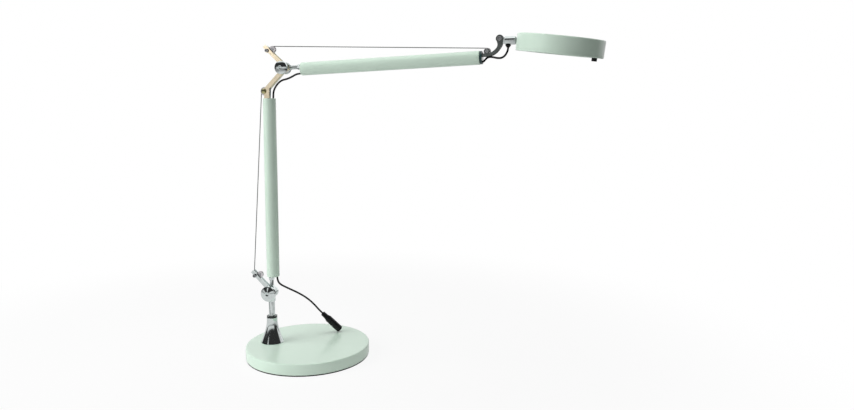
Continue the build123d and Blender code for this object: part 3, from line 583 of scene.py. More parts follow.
@dataclass(frozen=True)
class Plated(Finish):
    """Polished or satin metal with handling marks and hair scratches."""

    rough: float = 0.08
    scratch: float = 1.0
    lay: tuple[float, float, float] = (1.0, 1.0, 9.0)

    def look(self, sheet: Sheet) -> dict[int | str, Any]:
        """The Principled shader's inputs."""
        smear = sheet.noise(160, 4)
        hair = sheet.noise(700, 3, self.lay)
        pits = sheet.noise(1500, 1).step(0.74, 0.82)
        tone = sheet.blend(smear.step(0.35, 0.75), self.colour, self.shaded(0.88))
        tone = sheet.blend(pits * 0.5, tone, self.shaded(0.45))
        return {
            "Base Color": tone,
            "Metallic": 1.0,
            "Roughness": self.rough + smear.step(0.4, 0.8) * 0.1 + pits * 0.2,
            "Normal": sheet.bump(hair, 0.00002 * self.scratch, 0.6),
        }


@dataclass(frozen=True)
class Moulded(Finish):
    """Moulded rubber or plastic with a fine grain and rubbed, paler places."""

    rough: float = 0.5
    grain: float = 1400.0
    depth: float = 0.00004
    coat: float = 0.0
    shine: float = 0.3

    def look(self, sheet: Sheet) -> dict[int | str, Any]:
        """The Principled shader's inputs."""
        rub = sheet.noise(110, 4).step(0.45, 0.8)
        grain = sheet.noise(self.grain, 2)
        paler = tuple(part * 1.35 + 0.006 for part in self.colour)
        return {
            "Base Color": sheet.blend(rub * 0.6, self.colour, paler),
            "Roughness": self.rough + rub * 0.12 - grain * 0.08,
            "Normal": sheet.bump(grain, self.depth, 0.6),
            "Specular IOR Level": self.shine,
            "Coat Weight": self.coat,
            "Coat Roughness": 0.12,
        }


@dataclass(frozen=True)
class Stranded(Finish):
    """Drawn steel wire, darker and brighter in random streaks."""

    def look(self, sheet: Sheet) -> dict[int | str, Any]:
        """The Principled shader's inputs."""
        streak = sheet.noise(900, 3)
        tone = sheet.blend(streak.step(0.3, 0.7), self.shaded(0.7), self.colour)
        return {
            "Base Color": tone,
            "Metallic": 1.0,
            "Roughness": 0.28 + streak * 0.16,
            "Normal": sheet.bump(streak, 0.00003, 0.5),
        }


@dataclass(frozen=True)
class Sheathed(Finish):
    """A lead's soft sheath, with faint rings from its extrusion."""

    dust: Colour = (0.06, 0.06, 0.062)

    def look(self, sheet: Sheet) -> dict[int | str, Any]:
        """The Principled shader's inputs."""
        where = sheet.node("ShaderNodeUVMap", {"uv_map": "along"})
        rings = sheet.noise(1.0, 2, (2.0, 900.0, 1.0), where)
        dust = sheet.noise(240, 4).step(0.5, 0.78)
        return {
            "Base Color": sheet.blend(dust * 0.5, self.colour, self.dust),
            "Roughness": 0.36 + dust * 0.2,
            "Normal": sheet.bump(rings, 0.00003, 0.5),
            "Specular IOR Level": 0.3,
        }


@dataclass(frozen=True)
class Cast(Finish):
    """Rough grey casting."""

    def look(self, sheet: Sheet) -> dict[int | str, Any]:
        """The Principled shader's inputs."""
        lumps = sheet.noise(350, 5)
        return {
            "Base Color": sheet.blend(lumps.step(0.3, 0.7), self.shaded(0.7), self.colour),
            "Metallic": 0.6,
            "Roughness": 0.6 + lumps * 0.25,
            "Normal": sheet.bump(lumps, 0.0003, 0.7),
        }


@dataclass(frozen=True)
class Opal(Finish):
    """The light disc: milky plastic with rows of fine dimples."""

    pitch: float = 0.0016

    def look(self, sheet: Sheet) -> dict[int | str, Any]:
        """The Principled shader's inputs."""
        cells = sheet.node("ShaderNodeTexVoronoi", None, {
            "Vector": sheet.place(), "Scale": 1 / self.pitch, "Randomness": 0.15})
        haze = sheet.noise(30, 3)
        return {
            "Base Color": sheet.blend(haze, self.colour, self.shaded(0.95)),
            "Roughness": 0.3 + haze * 0.12,
            "Normal": sheet.bump(cells, 0.0001, 0.5),
            "Subsurface Weight": 0.3,
            "Subsurface Radius": (0.004, 0.004, 0.004),
        }


class Coats:
    """Every finish of the lamp."""

    enamel = Enamel("white gloss enamel", (0.73, 0.90, 0.77), gloss=0.3)
    # The chrome's teal tint is painted reflection of the mint-green surroundings, not the metal's own
    # colour.
    chrome = Plated("bright chrome", (0.80, 0.86, 0.85))
    alloy = Plated("turned alloy", (0.88, 0.85, 0.87), rough=0.28)
    # The warm tan is painted reflection of warm room light; only the near elbow plate takes it, the far
    # plate is plain chrome.
    chrome_painted_warm_reflection = Plated("chrome, warm side", (0.95, 0.82, 0.60), rough=0.1)
    olive_chrome = Plated("pin head, warm", (0.58, 0.54, 0.28), rough=0.1)
    dark_chrome = Plated("dark chrome", (0.13, 0.145, 0.14), rough=0.12)
    satin = Plated("satin steel", (0.42, 0.43, 0.44), rough=0.22, scratch=2.0)
    wire = Stranded("steel rope", (0.20, 0.21, 0.21))
    spring = Stranded("spring wire", (0.46, 0.46, 0.46))
    sheath = Sheathed("lead sheath", (0.005, 0.005, 0.006))
    rubber = Moulded("black rubber", (0.008, 0.008, 0.009), rough=0.62)
    plastic = Moulded("black plastic", (0.005, 0.005, 0.006), rough=0.42, grain=2600, depth=0.00003)
    plug = Moulded("dark plug", (0.018, 0.05, 0.05), rough=0.25, depth=0.00001, coat=0.3)
    pale = Moulded("white plastic", (0.72, 0.78, 0.73), rough=0.35, depth=0.00001, coat=0.2)
    board = Moulded("coated board", (0.70, 0.72, 0.68), rough=0.4)
    iron = Cast("cast ballast", (0.10, 0.10, 0.105))
    opal = Opal("opal disc", (0.90, 0.91, 0.88))


# ------------------------------------------------------------------ stage
@dataclass
class Lamp:
    """One soft studio light: an area light that looks at the object's middle."""

    name: str
    spot: tuple[float, float, float]
    size: tuple[float, float]
    power: float
    aim: tuple[float, float, float] = (0.1, 0.0, 0.3)
    mirrored: bool = False

    def hang(self) -> None:
        """Puts the light up."""
        data = bpy.data.lights.new(self.name, "AREA")
        data.shape = "RECTANGLE"
        data.size, data.size_y = self.size
        data.energy = self.power
        light = bpy.data.objects.new(self.name, data)
        place = towards(vector(*self.spot), vector(*self.spot) - vector(*self.aim))
        matrix = np.eye(4)
        matrix[:3, :3] = np.stack([place.across, place.up, place.out], -1)
        matrix[:3, 3] = self.spot
        light.matrix_world = Matrix(matrix.tolist())
        light.visible_glossy = self.mirrored
        bpy.context.scene.collection.objects.link(light)


@dataclass
class Stage:
    """The camera, the floor, the world and the lights, in metres."""

    eye: tuple[float, float, float] = (0.43828, -1.00004, 0.39626)
    yaw: float = 13.304
    dip: float = 5.46
    focal_pixels: float = 668.08
    picture: tuple[int, int] = (854, 410)
    axis_row: float = 177.01
    sensor: float = 36.0
    near_clip: float = 0.02
    floor_reach: float = 5.0
    table_mirrored: float = 0.72
    table_fall: float = 0.42
    ambient: float = 0.17
    wall_mirrored: float = 0.72
    ceiling_mirrored: float = 0.03
    paper_fade: tuple[float, float] = (0.25, 0.9)
    table_edge: tuple[float, float] = (0.6, 1.4)
    table_right: tuple[float, float] = (0.1, 0.7)
    backdrop: tuple[float, float] = (0.3, 0.7)
    ceiling: tuple[float, float] = (0.09, 0.17)
    side_walls: tuple[float, float] = (0.62, 0.88)
    skylight: tuple[float, float] = (0.72, 0.9)
    lamps: tuple[Lamp, ...] = (
        Lamp("key", (-1.3, -0.85, 0.95), (1.6, 1.4), 26.0),
        Lamp("front left", (-0.85, -1.75, 0.78), (0.3, 0.26), 0.2, mirrored=True),
        Lamp("front right", (0.9, -1.2, 0.36), (0.4, 0.7), 1.2),
        Lamp("top", (0.2, 0.2, 1.9), (1.6, 1.2), 14.0),
    )

    def camera(self) -> None:
        """Sets the camera where the photograph was taken from."""
        data = bpy.data.cameras.new("camera")
        data.sensor_width = self.sensor
        data.lens = self.focal_pixels / self.picture[0] * self.sensor
        data.shift_y = (self.axis_row - self.picture[1] / 2) / self.picture[0]
        data.clip_start = self.near_clip
        camera = bpy.data.objects.new("camera", data)
        camera.location = self.eye
        camera.rotation_euler = (math.radians(90 - self.dip), 0, math.radians(self.yaw))
        bpy.context.scene.collection.objects.link(camera)
        bpy.context.scene.camera = camera

    def floor(self) -> None:
        """Lays a pale floor that fades into the background and keeps the lamp's soft shadow."""
        ring = [(self.floor_reach / MM, 0.0), (1.0, 0.0), (0.0, 0.0)]
        floor = stack("floor", upright(0, 0), ring, sides=64)
        sheet = Sheet(bpy.data.materials.new("floor paper"))
        where = sheet.node("ShaderNodeVectorMath", {"operation": "LENGTH"}, {0: sheet.place()}, "Value")
        far = where.step(*self.paper_fade)
        seen, mirrored = sheet.ray("Camera"), sheet.ray("Glossy")
        share = seen * (far * 0.12 + 0.88) + (1 - seen) * (mirrored * 0.8 + 0.2)
        near = sheet.blend(sheet.noise(40, 4), (0.84, 0.84, 0.84), (0.87, 0.87, 0.87))
        paper = sheet.node("ShaderNodeBsdfDiffuse", None, {"Color": sheet.blend(far, near, (0.4, 0.4, 0.4))})
        beyond = where.step(*self.table_edge)
        # In reflections the floor darkens towards the right: a painted dark reflection for the stem and
        # collar.
        right = sheet.axis(sheet.place(), "X").step(*self.table_right)
        table = (self.table_mirrored - beyond * self.table_fall) * (1 - right * 0.8)
        # Near the lamp the floor glows 1.6 times white for other surfaces' diffuse light, standing in for
        # bounce light from the table.
        other = mirrored * table + (1 - mirrored) * (1 - far) * 1.6
        bright = seen + (1 - seen) * other
        glow = sheet.white("ShaderNodeEmission", bright)
        both = sheet.node("ShaderNodeMixShader", None, {0: share, 1: paper, 2: glow})
        sheet.end("ShaderNodeOutputMaterial", both)
        floor.data.materials.append(sheet.owner)

    def world(self) -> None:
        """A white background, and a plain soft light that is darker from behind the camera."""
        world = bpy.data.worlds.new("studio")
        bpy.context.scene.world = world
        sheet = Sheet(world)
        glossy = sheet.ray("Glossy")
        shown = sheet.ray("Camera") + sheet.ray("Transmission")
        where = sheet.node("ShaderNodeTexCoord", output="Generated")
        x, y, z = (sheet.axis(where, name) for name in "XYZ")
        backdrop = y.step(*self.backdrop)
        ceiling = z.step(*self.ceiling)
        side = (x * x).step(*self.side_walls)
        dark = 1 - (1 - ceiling) * (1 - side)
        front = self.wall_mirrored - dark * (self.wall_mirrored - self.ceiling_mirrored)
        bright = 1 - (1 - backdrop) * (1 - (z - x * 0.3).step(*self.skylight))
        room = front + bright * (1 - front)
        strength = shown + (1 - shown) * (glossy * room + (1 - glossy) * self.ambient)
        sheet.end("ShaderNodeOutputWorld", sheet.white("ShaderNodeBackground", strength))

    def build(self) -> None:
        """Builds the whole stage."""
        self.camera()
        self.floor()
        self.world()
        for lamp in self.lamps:
            lamp.hang()
        bpy.context.scene.view_settings.view_transform = "Standard"
        log.info("stage built")


# ------------------------------------------------------------------ leads and cables
class End(Enum):
    """What is on a lead's far end."""

    CONNECTOR = "connector"
    HOUSING = "object"


@dataclass
class Lead:
    """A lead: a soft round sheath on one smooth curve.

    Attributes:
        node: the part that it stands for.
        route: its control points from the stem's axis: x, y and height.
        bodies: the bodies at its two ends; not used.
        turn: the first and last control point of the stretch at the joint; their points are looked up and
            not used.
        end: what is on its far end; not used.
    """

    node: str
    route: list[tuple[float, float, float]]
    bodies: tuple[str, str]
    turn: tuple[int, int]
    end: End = End.HOUSING

    def point(self, number: int) -> Array:
        """A control point, in metres in the row frame."""
        x, y, z = self.route[number]
        return world(x, z, y) * MM

    def centreline(self) -> Array:
        """The smooth curve's own points, from a quadratic spline that starts and ends on the route."""
        curve = bpy.data.curves.new(f"{self.node}_line", "CURVE")
        curve.dimensions = "3D"
        curve.resolution_u = 10
        spline = curve.splines.new("NURBS")
        spline.points.add(len(self.route) - 1)
        for number, point in enumerate(spline.points):
            point.co = (*self.point(number), 1.0)
        spline.order_u = 3
        spline.use_endpoint_u = True
        holder = bpy.data.objects.new(f"{self.node}_line", curve)
        bpy.context.scene.collection.objects.link(holder)
        bpy.context.view_layer.update()
        sampled = bpy.data.meshes.new_from_object(holder)
        points = np.empty(len(sampled.vertices) * 3)
        sampled.vertices.foreach_get("co", points)
        bpy.data.objects.remove(holder)
        bpy.data.curves.remove(curve)
        bpy.data.meshes.remove(sampled)
        return points.reshape(-1, 3)

    def build(self, with_pieces: Sequence[bpy.types.Object] = ()) -> None:
        path = self.centreline()
        piece = sweep(f"{self.node}_sheath", path, LEAD_RADIUS * MM, vector(0, 1, 0), sides=24)
        settle(piece, Coats.sheath, "black_rubber", self.node, body="")
        start, stop = (self.point(number) for number in self.turn)
        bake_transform(piece)


@dataclass
class Connector:
    """The plug-in connector on the supply lead: a ribbed sleeve, a swell and a grip."""

    length: float = 42.8
    radius: float = 5.8
    lead_inside: float = 6.0
    socket: float = 2.7
    ribs: int = 5
    rib_height: float = 0.28
    sleeve: tuple[float, float] = (0.6, 9.0)
    waist: float = 4.4

    def build(self, lead: Lead) -> bpy.types.Object:
        """Makes the connector in line with the lead's end.

        The profile is the sleeve's radius plus a cosine wave for its ribs, then a
        smooth swell to the grip, a rounded rim and a stepped socket with its pin.
        """
        tip, before = lead.point(-1) / MM, lead.point(-2) / MM
        heading = unit(tip - before)
        place = towards(tip - heading * self.lead_inside, heading)
        first, last = self.sleeve
        run = np.linspace(first, last, 10 * self.ribs)
        wave = np.cos((run - first) / (last - first) * self.ribs * TURN)
        ribs = 3.75 + 0.04 * run + self.rib_height * wave
        swell = np.linspace(0, 1, 9)
        body = self.waist + (self.radius - self.waist) * swell**2 * (3 - 2 * swell)
        end, hole, pin, depth = self.length, LEAD_RADIUS + 0.02, 0.65, 5.9
        rows = [(0.0, depth), (hole, depth), (hole, 0.2), (2.2, 0.0), (3.3, 0.0)]
        rows += list(zip(ribs, run)) + list(zip(body, 9.6 + 5.0 * swell))
        rows += rounded([(self.radius, 15.0), (self.radius, 18.0), (self.radius - 0.35, 18.4, 0.1),
                         (self.radius - 0.35, 19.2, 0.1), (self.radius, 19.6), (self.radius, end, 0.5),
                         (self.socket, end, 0.25), (self.socket, end - 10), (pin, end - 10),
                         (pin, end - 1.2, 0.2), (0.0, end - 1.0)])
        piece = stack("supply_connector_body", place, rows, sides=72)
        return settle(piece, Coats.plastic, "black_plastic", "supply_connector")


@dataclass
class Cable:
    """A taut steel rope: arcs round its wheels and straight runs between them.

    Attributes:
        node: the part that it stands for.
        turns: centre, radius and the angles in degrees where each arc starts and ends.
        tail: the last straight run.
        bodies: the lever's body and the arm's body; not used.
        share: a share of the way between the last two turns' centres; the point there is found and not used.
    """

    node: str
    turns: list[tuple[Array, float, float, float]]
    tail: float
    bodies: tuple[str, str]
    share: float = 0.35
    step: float = 0.9

    def line(self) -> Array:
        """The centreline in the arms' plane: arc points c + r (cos a, sin a), joined by even runs."""
        corners: list[Array] = []
        for centre, radius, start, stop in self.turns:
            count = max(6, int(abs(stop - start) / 6))
            angle = np.radians(np.linspace(start, stop, count))
            corners.append(centre + radius * np.stack([np.cos(angle), np.sin(angle)], -1))
        last = corners[-1]
        corners.append((last[-1] + unit(last[-1] - last[-2]) * self.tail)[None])
        points = np.concatenate(corners)
        run = lengths_along(points)
        even = np.unique(np.concatenate([np.arange(0, run[-1], self.step), run]).round(3))
        return np.stack([np.interp(even, run, points[:, k]) for k in (0, 1)], -1)

    def build(self) -> None:
        """Makes the rope."""
        flat = self.line()
        path = np.stack([STEM[0] + flat[:, 0], np.full(len(flat), STEM[1]), flat[:, 1]], -1) * MM
        piece = sweep(f"{self.node}_rope", path, CABLE_RADIUS * MM, vector(0, 1, 0), sides=18,
                      lobes=6, pitch=0.009)
        settle(piece, Coats.wire, "steel_cable", self.node, body="")
        start = world(*self.turns[-2][0])
        stop = start + (world(*self.turns[-1][0]) - start) * self.share
        tuple(stop * MM)
        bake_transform(piece)


def heading_between(start: Array, start_side: float, end: Array, end_side: float) -> float:
    """The heading, in degrees, of the straight run between two wheels.

    It is the line of centres turned by the arcsine of the difference of the
    cable's radii there, start_side and end_side, over the distance of the centres.
    """
    span = end - start
    lean = math.asin((start_side - end_side) / float(np.linalg.norm(span)))
    return math.degrees(math.atan2(span[1], span[0]) - lean)


@dataclass
class Wiring:
    """The three leads, the connector, the two balance cables and their springs."""

    supply: Lead = field(default_factory=lambda: Lead(
        "supply_lead",
        [(10.5, 0.0, 132.6), (10.6, 0.2, 124.2), (13.8, 2.0, 116.4), (22.7, 12.0, 108.0),
         (33.7, 25.0, 98.0), (44.9, 38.0, 86.1), (54.4, 48.0, 72.3), (61.5, 53.9, 60.3),
         (69.5, 59.2, 50.1)],
        ("lower_arm", "stem"), (1, 6), End.CONNECTOR))
    elbow: Lead = field(default_factory=lambda: Lead(
        "elbow_lead",
        [(10.5, 0.0, 412.0), (10.6, 0.0, 422.0), (11.4, 0.0, 432.4), (17.2, 0.0, 441.6),
         (25.4, 0.0, 448.4), (34.4, 0.0, 450.0), (43.6, 0.0, 453.6), (50.8, 0.0, 457.6),
         (59.0, 0.0, 458.7), (66.0, 0.0, 459.0)],
        ("lower_arm", "upper_arm"), (1, 8)))
    head: Lead = field(default_factory=lambda: Lead(
        "head_lead",
        [(337.6, 0.0, 470.8), (343.6, 0.0, 471.1), (349.4, 0.0, 471.9), (352.0, 0.0, 475.4),
         (356.0, 0.0, 478.6), (362.6, 0.0, 478.5), (369.6, 0.0, 476.7), (376.0, 0.0, 476.8),
         (381.0, 0.0, 480.2), (384.0, 0.0, 485.4), (385.3, 0.0, 490.0), (385.3, 0.0, 494.4)],
        ("upper_arm", "knuckle"), (2, 10)))
    anchor_radius: float = 3.15
    wheel_radius: float = 4.9
    bend_radius: float = 6.2
    spring_radius: float = 3.6
    spring_wire: float = 0.68
    spring_turns: int = 104
    spring_length: float = 150.0
    hook_gap: float = 0.1
    lower_spring_from: float = 149.9
    upper_spring_from: float = 51.0

    def leads(self) -> None:
        """Makes the leads and the connector."""
        connector = Connector().build(self.supply)
        self.supply.build([connector])
        self.elbow.build()
        self.head.build()

    def cables(self) -> None:
        """Makes both balance cables, each up to just short of its spring."""
        to_hook = self.spring_length + self.hook_gap
        low = PIVOT_LOW + ANCHOR
        rise = heading_between(low, self.anchor_radius, BEND, self.bend_radius)
        Cable("lower_cable",
              [(low, self.anchor_radius, rise + 185, rise + 90), (BEND, self.bend_radius, rise + 90, 0.0)],
              BEND[1] - self.lower_spring_from - to_hook, ("stem", "lower_arm")).build()
        high, guide = PIVOT_HIGH + ANCHOR, PIVOT_HIGH + GUIDE
        climb = heading_between(high, self.anchor_radius, guide, self.wheel_radius)
        top = heading_between(guide, self.wheel_radius, END_WHEEL, self.wheel_radius)
        reach = float((END_WHEEL - PIVOT_HIGH) @ [math.cos(UPPER_ANGLE), math.sin(UPPER_ANGLE)])
        Cable("upper_cable",
              [(high, self.anchor_radius, climb + 185, climb + 90),
               (guide, self.wheel_radius, climb + 90, top + 90),
               (END_WHEEL, self.wheel_radius, top + 90, math.degrees(UPPER_ANGLE) - 90)],
              reach - self.upper_spring_from - to_hook, ("lower_arm", "upper_arm")).build()

    def spring(self, node: str, place: Place) -> None:
        """Makes one close-wound spring: a helix (R cos a, R sin a, h) that closes in at both ends."""
        points_per_turn = 14
        share = np.linspace(0, 1, self.spring_turns * points_per_turn)
        angle = share * self.spring_turns * TURN
        radius = self.spring_radius * np.minimum(1, np.minimum(share, 1 - share) * 60 + 0.25)
        height = self.spring_wire + share * (self.spring_length - 2 * self.spring_wire)
        path = place.put(around(radius, angle, height))
        piece = sweep(f"{node}_coil", path, self.spring_wire * MM, place.out, sides=8)
        settle(piece, Coats.spring, "spring_steel", node)

    def build(self) -> None:
        """Makes everything that runs through the lamp."""
        self.leads()
        self.cables()
        x, y = STEM
        lower = upright(x + BEND[0] + self.bend_radius, y, self.lower_spring_from)
        self.spring("lower_spring", lower)
        self.spring("upper_spring", along_upper(self.upper_spring_from, 0.1))


# ------------------------------------------------------------------ shared fittings
@dataclass
class Wheel:
    """A grooved wheel between two plates."""

    node: str
    centre: Array
    flange: float = 5.3
    groove: float = 4.2
    half: float = 2.1
    bore: float = 1.55

    def build(self) -> None:
        """Makes the wheel: a ring whose rim is cut by a round groove.

        The rim's radius at height h is the flange less the depth times the root of
        1 - (h / w) squared, for a groove of half width w.
        """
        width, edge = 0.95, self.flange - 0.25
        height = np.linspace(-width, width, 13)
        rim = edge - (edge - self.groove) * np.sqrt(np.clip(1 - (height / width) ** 2, 0, 1))
        side = [(self.bore, 0.0), (self.bore + 0.9, 0.0), (self.bore + 1.1, 0.3), (self.flange - 1.2, 0.3),
                (self.flange - 0.9, 0.0), (self.flange - 0.2, 0.0), (self.flange, 0.2)]
        rows = [(radius, sunk - self.half) for radius, sunk in side]
        rows += list(zip(rim, height))
        rows += [(radius, self.half - sunk) for radius, sunk in side[::-1]]
        piece = stack(f"{self.node}_wheel", facing_viewer(self.centre), rows, sides=64, ring=True)
        settle(piece, Coats.alloy, "satin_metal", self.node)


@dataclass
class Knob:
    """A pivot bolt with a round head on the near side.

    Attributes:
        node: the part that it stands for.
        pivot: its axis in the arms' plane.
        radius: the head's radius.
        rise: how far the head's face stands out past its rim.
        cone: how much of the face is a cone instead of a dome, from 0 to 1.
    """

    node: str
    pivot: Array
    radius: float
    rise: float
    cone: float
    rim: float = 12.6
    back: float = 6.2
    key: float = 2.4
    shaft: float = 2.5
    tail: float = 11.0
    neck: float = 0.72

    def face(self) -> list[tuple[float, ...]]:
        """The head's face from its rim to the key's hollow.

        Its height at radius r is the rise times a mix of 1 - r / R, a cone, and
        the root of 1 - (r / R) squared, a dome.
        """
        share = np.concatenate([np.cos(np.linspace(0.0, 0.6, 8)), np.linspace(0.8, 0.31, 10)])
        height = self.cone * (1 - share) + (1 - self.cone) * np.sqrt(1 - share**2)
        rows = [(self.radius, self.rim - 0.8)]
        rows += list(zip(self.radius * share, self.rim - 0.4 + (self.rise + 0.4) * height))
        floor = rows[-1][1]
        return rows + [(self.key + 0.35, floor, 6), (self.key, floor - 0.3, 6),
                       (self.key, floor - 3.2, 6), (0.0, floor - 3.6)]

    def build(self) -> None:
        """Makes the bolt."""
        wide, neck = self.radius, self.radius * self.neck
        shaft = rounded([(0.0, -self.tail), (self.shaft, -self.tail, 0.3), (self.shaft, PLATE_FACE),
                         (neck, PLATE_FACE), (neck, self.back, 0.2), (wide - 0.9, self.back, 0.1),
                         (wide, self.back + 0.9, 0.3), (wide, self.back + 2.0)])
        piece = stack(f"{self.node}_knob", facing_viewer(self.pivot), shaft + self.face(), sides=96)
        settle(piece, Coats.chrome, "chrome", self.node)


@dataclass
class FarNut:
    """A pivot's round nut on the far side, with two key flats and a hollow over the bolt's end."""

    node: str
    pivot: Array
    radius: float
    thick: float
    bore: float = 2.56

    def build(self) -> None:
        """Makes the nut as a ring whose outer face is stepped and eased."""
        near, end, wide = PLATE_FACE, PLATE_FACE + self.thick, self.radius
        rows = rounded([(self.bore, near), (wide - 0.6, near, 0.1), (wide, near + 0.6, 0.2),
                        (wide, end - 1.4, 0.4), (wide - 1.5, end, 0.4), (5.2, end, 0.3),
                        (4.6, end - 0.9, 0.2), (3.2, end - 0.9)])
        rows += [(3.2, end - 0.9, 6), (3.0, end - 1.2, 6), (3.0, end - 2.6, 6), (self.bore, end - 2.6)]
        piece = stack(f"{self.node}_cap", facing_away(self.pivot), rows, sides=72, ring=True)
        settle(piece, Coats.chrome, "chrome", self.node)


@dataclass
class Shank:
    """An arm's eye with its threaded shank and hexagon lock nut.

    Attributes:
        arm: the arm's word in the parts' names.
        start: the shank's axis where it leaves the eye.
        nut_from: where the nut starts along it.
        nut_long: the nut's length.
        reach: where the thread goes out of sight.
        finish: the thread's finish.
    """

    arm: str
    start: Place
    nut_from: float
    nut_long: float
    reach: float
    finish: Finish
    pitch: float = 1.0
    radius: float = 3.1
    crest: float = 0.12
    depth: float = 0.42
    run_out: float = 0.8
    flat: float = 3.9
    corner: float = 4.38

    def thread(self) -> None:
        """Makes the thread: the radius is R - d |2 frac(h / p - a / turn) - 1| at angle a and height h."""
        height = np.arange(0.0, self.reach, self.pitch / 8)
        angle = np.arange(48) / 48 * TURN
        saw = np.abs(2 * ((height[:, None] / self.pitch - angle / TURN) % 1) - 1)
        ease = np.minimum(1, np.minimum(height, self.reach - height) / self.run_out)[:, None]
        radius = self.radius + self.crest - self.depth * saw * ease
        first, last = (around(0.0, angle, end)[None] for end in (0.0, height[-1]))
        points = self.start.put(np.concatenate([first, around(radius, angle, height[:, None]), last]))
        piece = loft(f"{self.arm}_shank_thread", points, crease=70)
        settle(piece, self.finish, "satin_metal", body=f"{self.arm}_arm")

    def nut(self) -> None:
        """Makes the nut: a hexagon cut at both ends by a cone."""
        flat, corner, low, high = self.flat, self.corner, self.nut_from, self.nut_from + self.nut_long
        height = np.array([low, low, low + 0.25, low + 0.5, high - 0.5, high - 0.25, high, high])
        limit = np.array([self.radius + 0.05, flat - 0.1, corner - 0.25, corner + 0.2,
                          corner + 0.2, corner - 0.25, flat - 0.1, self.radius + 0.05])
        angle = np.arange(72) / 72 * TURN
        off_middle = (angle + TURN / 12) % (TURN / 6) - TURN / 12
        radius = np.minimum(flat / np.cos(off_middle)[None], limit[:, None])
        points = self.start.put(around(radius, angle, height[:, None]))
        piece = loft(f"{self.arm}_lock_nut", points, ring=True, crease=25)
        settle(piece, Coats.chrome, "chrome", f"{self.arm}_eye_nut")

    def build(self) -> None:
        """Makes the eye, the thread and the nut."""
        dress(Coats.chrome, "chrome", 0.5, f"{self.arm}_eye")
        self.thread()
        self.nut()


@dataclass
class ArmTube:
    """A white arm tube with rolled ends."""

    node: str
    start: Place
    length: float
    radius: float = 10.2
    bore: float = 9.0
    lip: float = 0.9

    def build(self) -> None:
        """Makes the tube as a ring with rounded lips."""
        wide, last = self.radius, self.length
        rows = rounded([(self.bore, 2.0), (self.bore, 0.0, 0.3), (wide, 0.0, self.lip), (wide, 6.0)])
        rows += [(wide, height) for height in np.linspace(6, last - 6, 24)]
        rows += rounded([(wide, last - 6), (wide, last, self.lip), (self.bore, last, 0.3),
                         (self.bore, last - 2.0)])
        piece = stack(f"{self.node}_sleeve", self.start, rows, sides=96, ring=True)
        settle(piece, Coats.enamel, "white_enamel", self.node)


# ------------------------------------------------------------------ sub-assemblies
@dataclass
class WeightedBase:
    """The round base with its flared collar."""

    radius: float = 100.0
    height: float = 19.0
    skin: float = 2.4
    foot: float = 2.0
    edge: float = 1.6
    hole: float = 8.7
    waist: tuple[tuple[float, float], ...] = ((19.6, 18.4), (36.0, 12.4), (47.5, 9.5), (60.4, 8.8))

    def cover(self) -> None:
        """Makes the cover: circles whose centres shift from the base's axis to the stem's hole.

        Loops in the top and under it are circles between the rim and the hole, with
        radius and centre in the same share of the way.
        """
        top, roof = self.height, self.height - self.skin
        rim = rounded([(self.radius - self.skin, roof - 4.0), (self.radius - self.skin, self.foot),
                       (self.radius, self.foot, 0.4), (self.radius, top, self.edge), (self.radius - 6, top)])
        share = np.linspace(0, 1, 9)
        outer, under = self.radius - 6, self.radius - self.skin
        rows = rim + [(outer + (self.hole - outer) * s, top) for s in share[1:]]
        rows += [(under + (self.hole - under) * s, roof) for s in share[::-1]]
        shares = np.concatenate([np.zeros(len(rim)), share[1:], share[::-1]])
        piece = stack("base_cover_shell", upright(0, 0), rows, sides=160, ring=True,
                      shift=shares[:, None] * STEM[None, :])
        settle(piece, Coats.enamel, "white_enamel", "base_cover")

    def collar(self) -> None:
        """Makes the collar: its waist is the cubic through four radii, over a small rounded foot."""
        heights, radii = (np.array(part) for part in zip(*self.waist))
        cubic = np.polyfit(heights - 40, radii, 3)
        run = np.linspace(20.2, 59.9, 44)
        waist = list(zip(np.polyval(cubic, run - 40), run))
        foot = rounded([(8.6, 19.03), (18.2, 19.03, 0.2), (18.5, 19.5, 0.3), (waist[0])])
        lip = rounded([waist[-1], (8.8, 60.4, 0.25), (7.0, 60.4, 0.2), (7.0, 7.0), (8.6, 7.0), (8.6, 18.9)])
        rows = foot[:-1] + waist[:-1] + lip
        piece = stack("trumpet_collar_spun", upright(*STEM), rows, sides=128, ring=True)
        settle(piece, Coats.chrome, "chrome", "trumpet_collar")

    def build(self) -> None:
        """Makes and dresses the base."""
        self.cover()
        self.collar()
        dress(Coats.plastic, "black_plastic", 0.25, "swivel_bush")
        dress(Coats.rubber, "black_rubber", 0.3, "foot_pad")
        repaint(Coats.iron, "base_ballast")
        repaint(Coats.satin, "base_plate", "base_screws", "collar_nut")


@dataclass
class SwivelStem:
    """The stem with its two lever plates and the lower pivot."""

    def build(self) -> None:
        """Makes and dresses the stem."""
        dress(Coats.chrome, "chrome", 0.3, "stem_rod")
        dress(Coats.dark_chrome, "chrome", 0.35, "stem_ring")
        dress(Coats.chrome, "chrome", 0.4, "lower_lever_near", "lower_lever_far")
        dress(Coats.satin, "satin_metal", 0.3, "stem_rivet", "lower_anchor_pin", "lower_guide_pin")
        Knob("lower_pivot_bolt", PIVOT_LOW, 12.4, 3.8, 0.85, back=6.2).build()
        FarNut("lower_pivot_nut", PIVOT_LOW, 8.6, 6.6).build()
        Wheel("lower_guide_pulley", PIVOT_LOW + GUIDE).build()


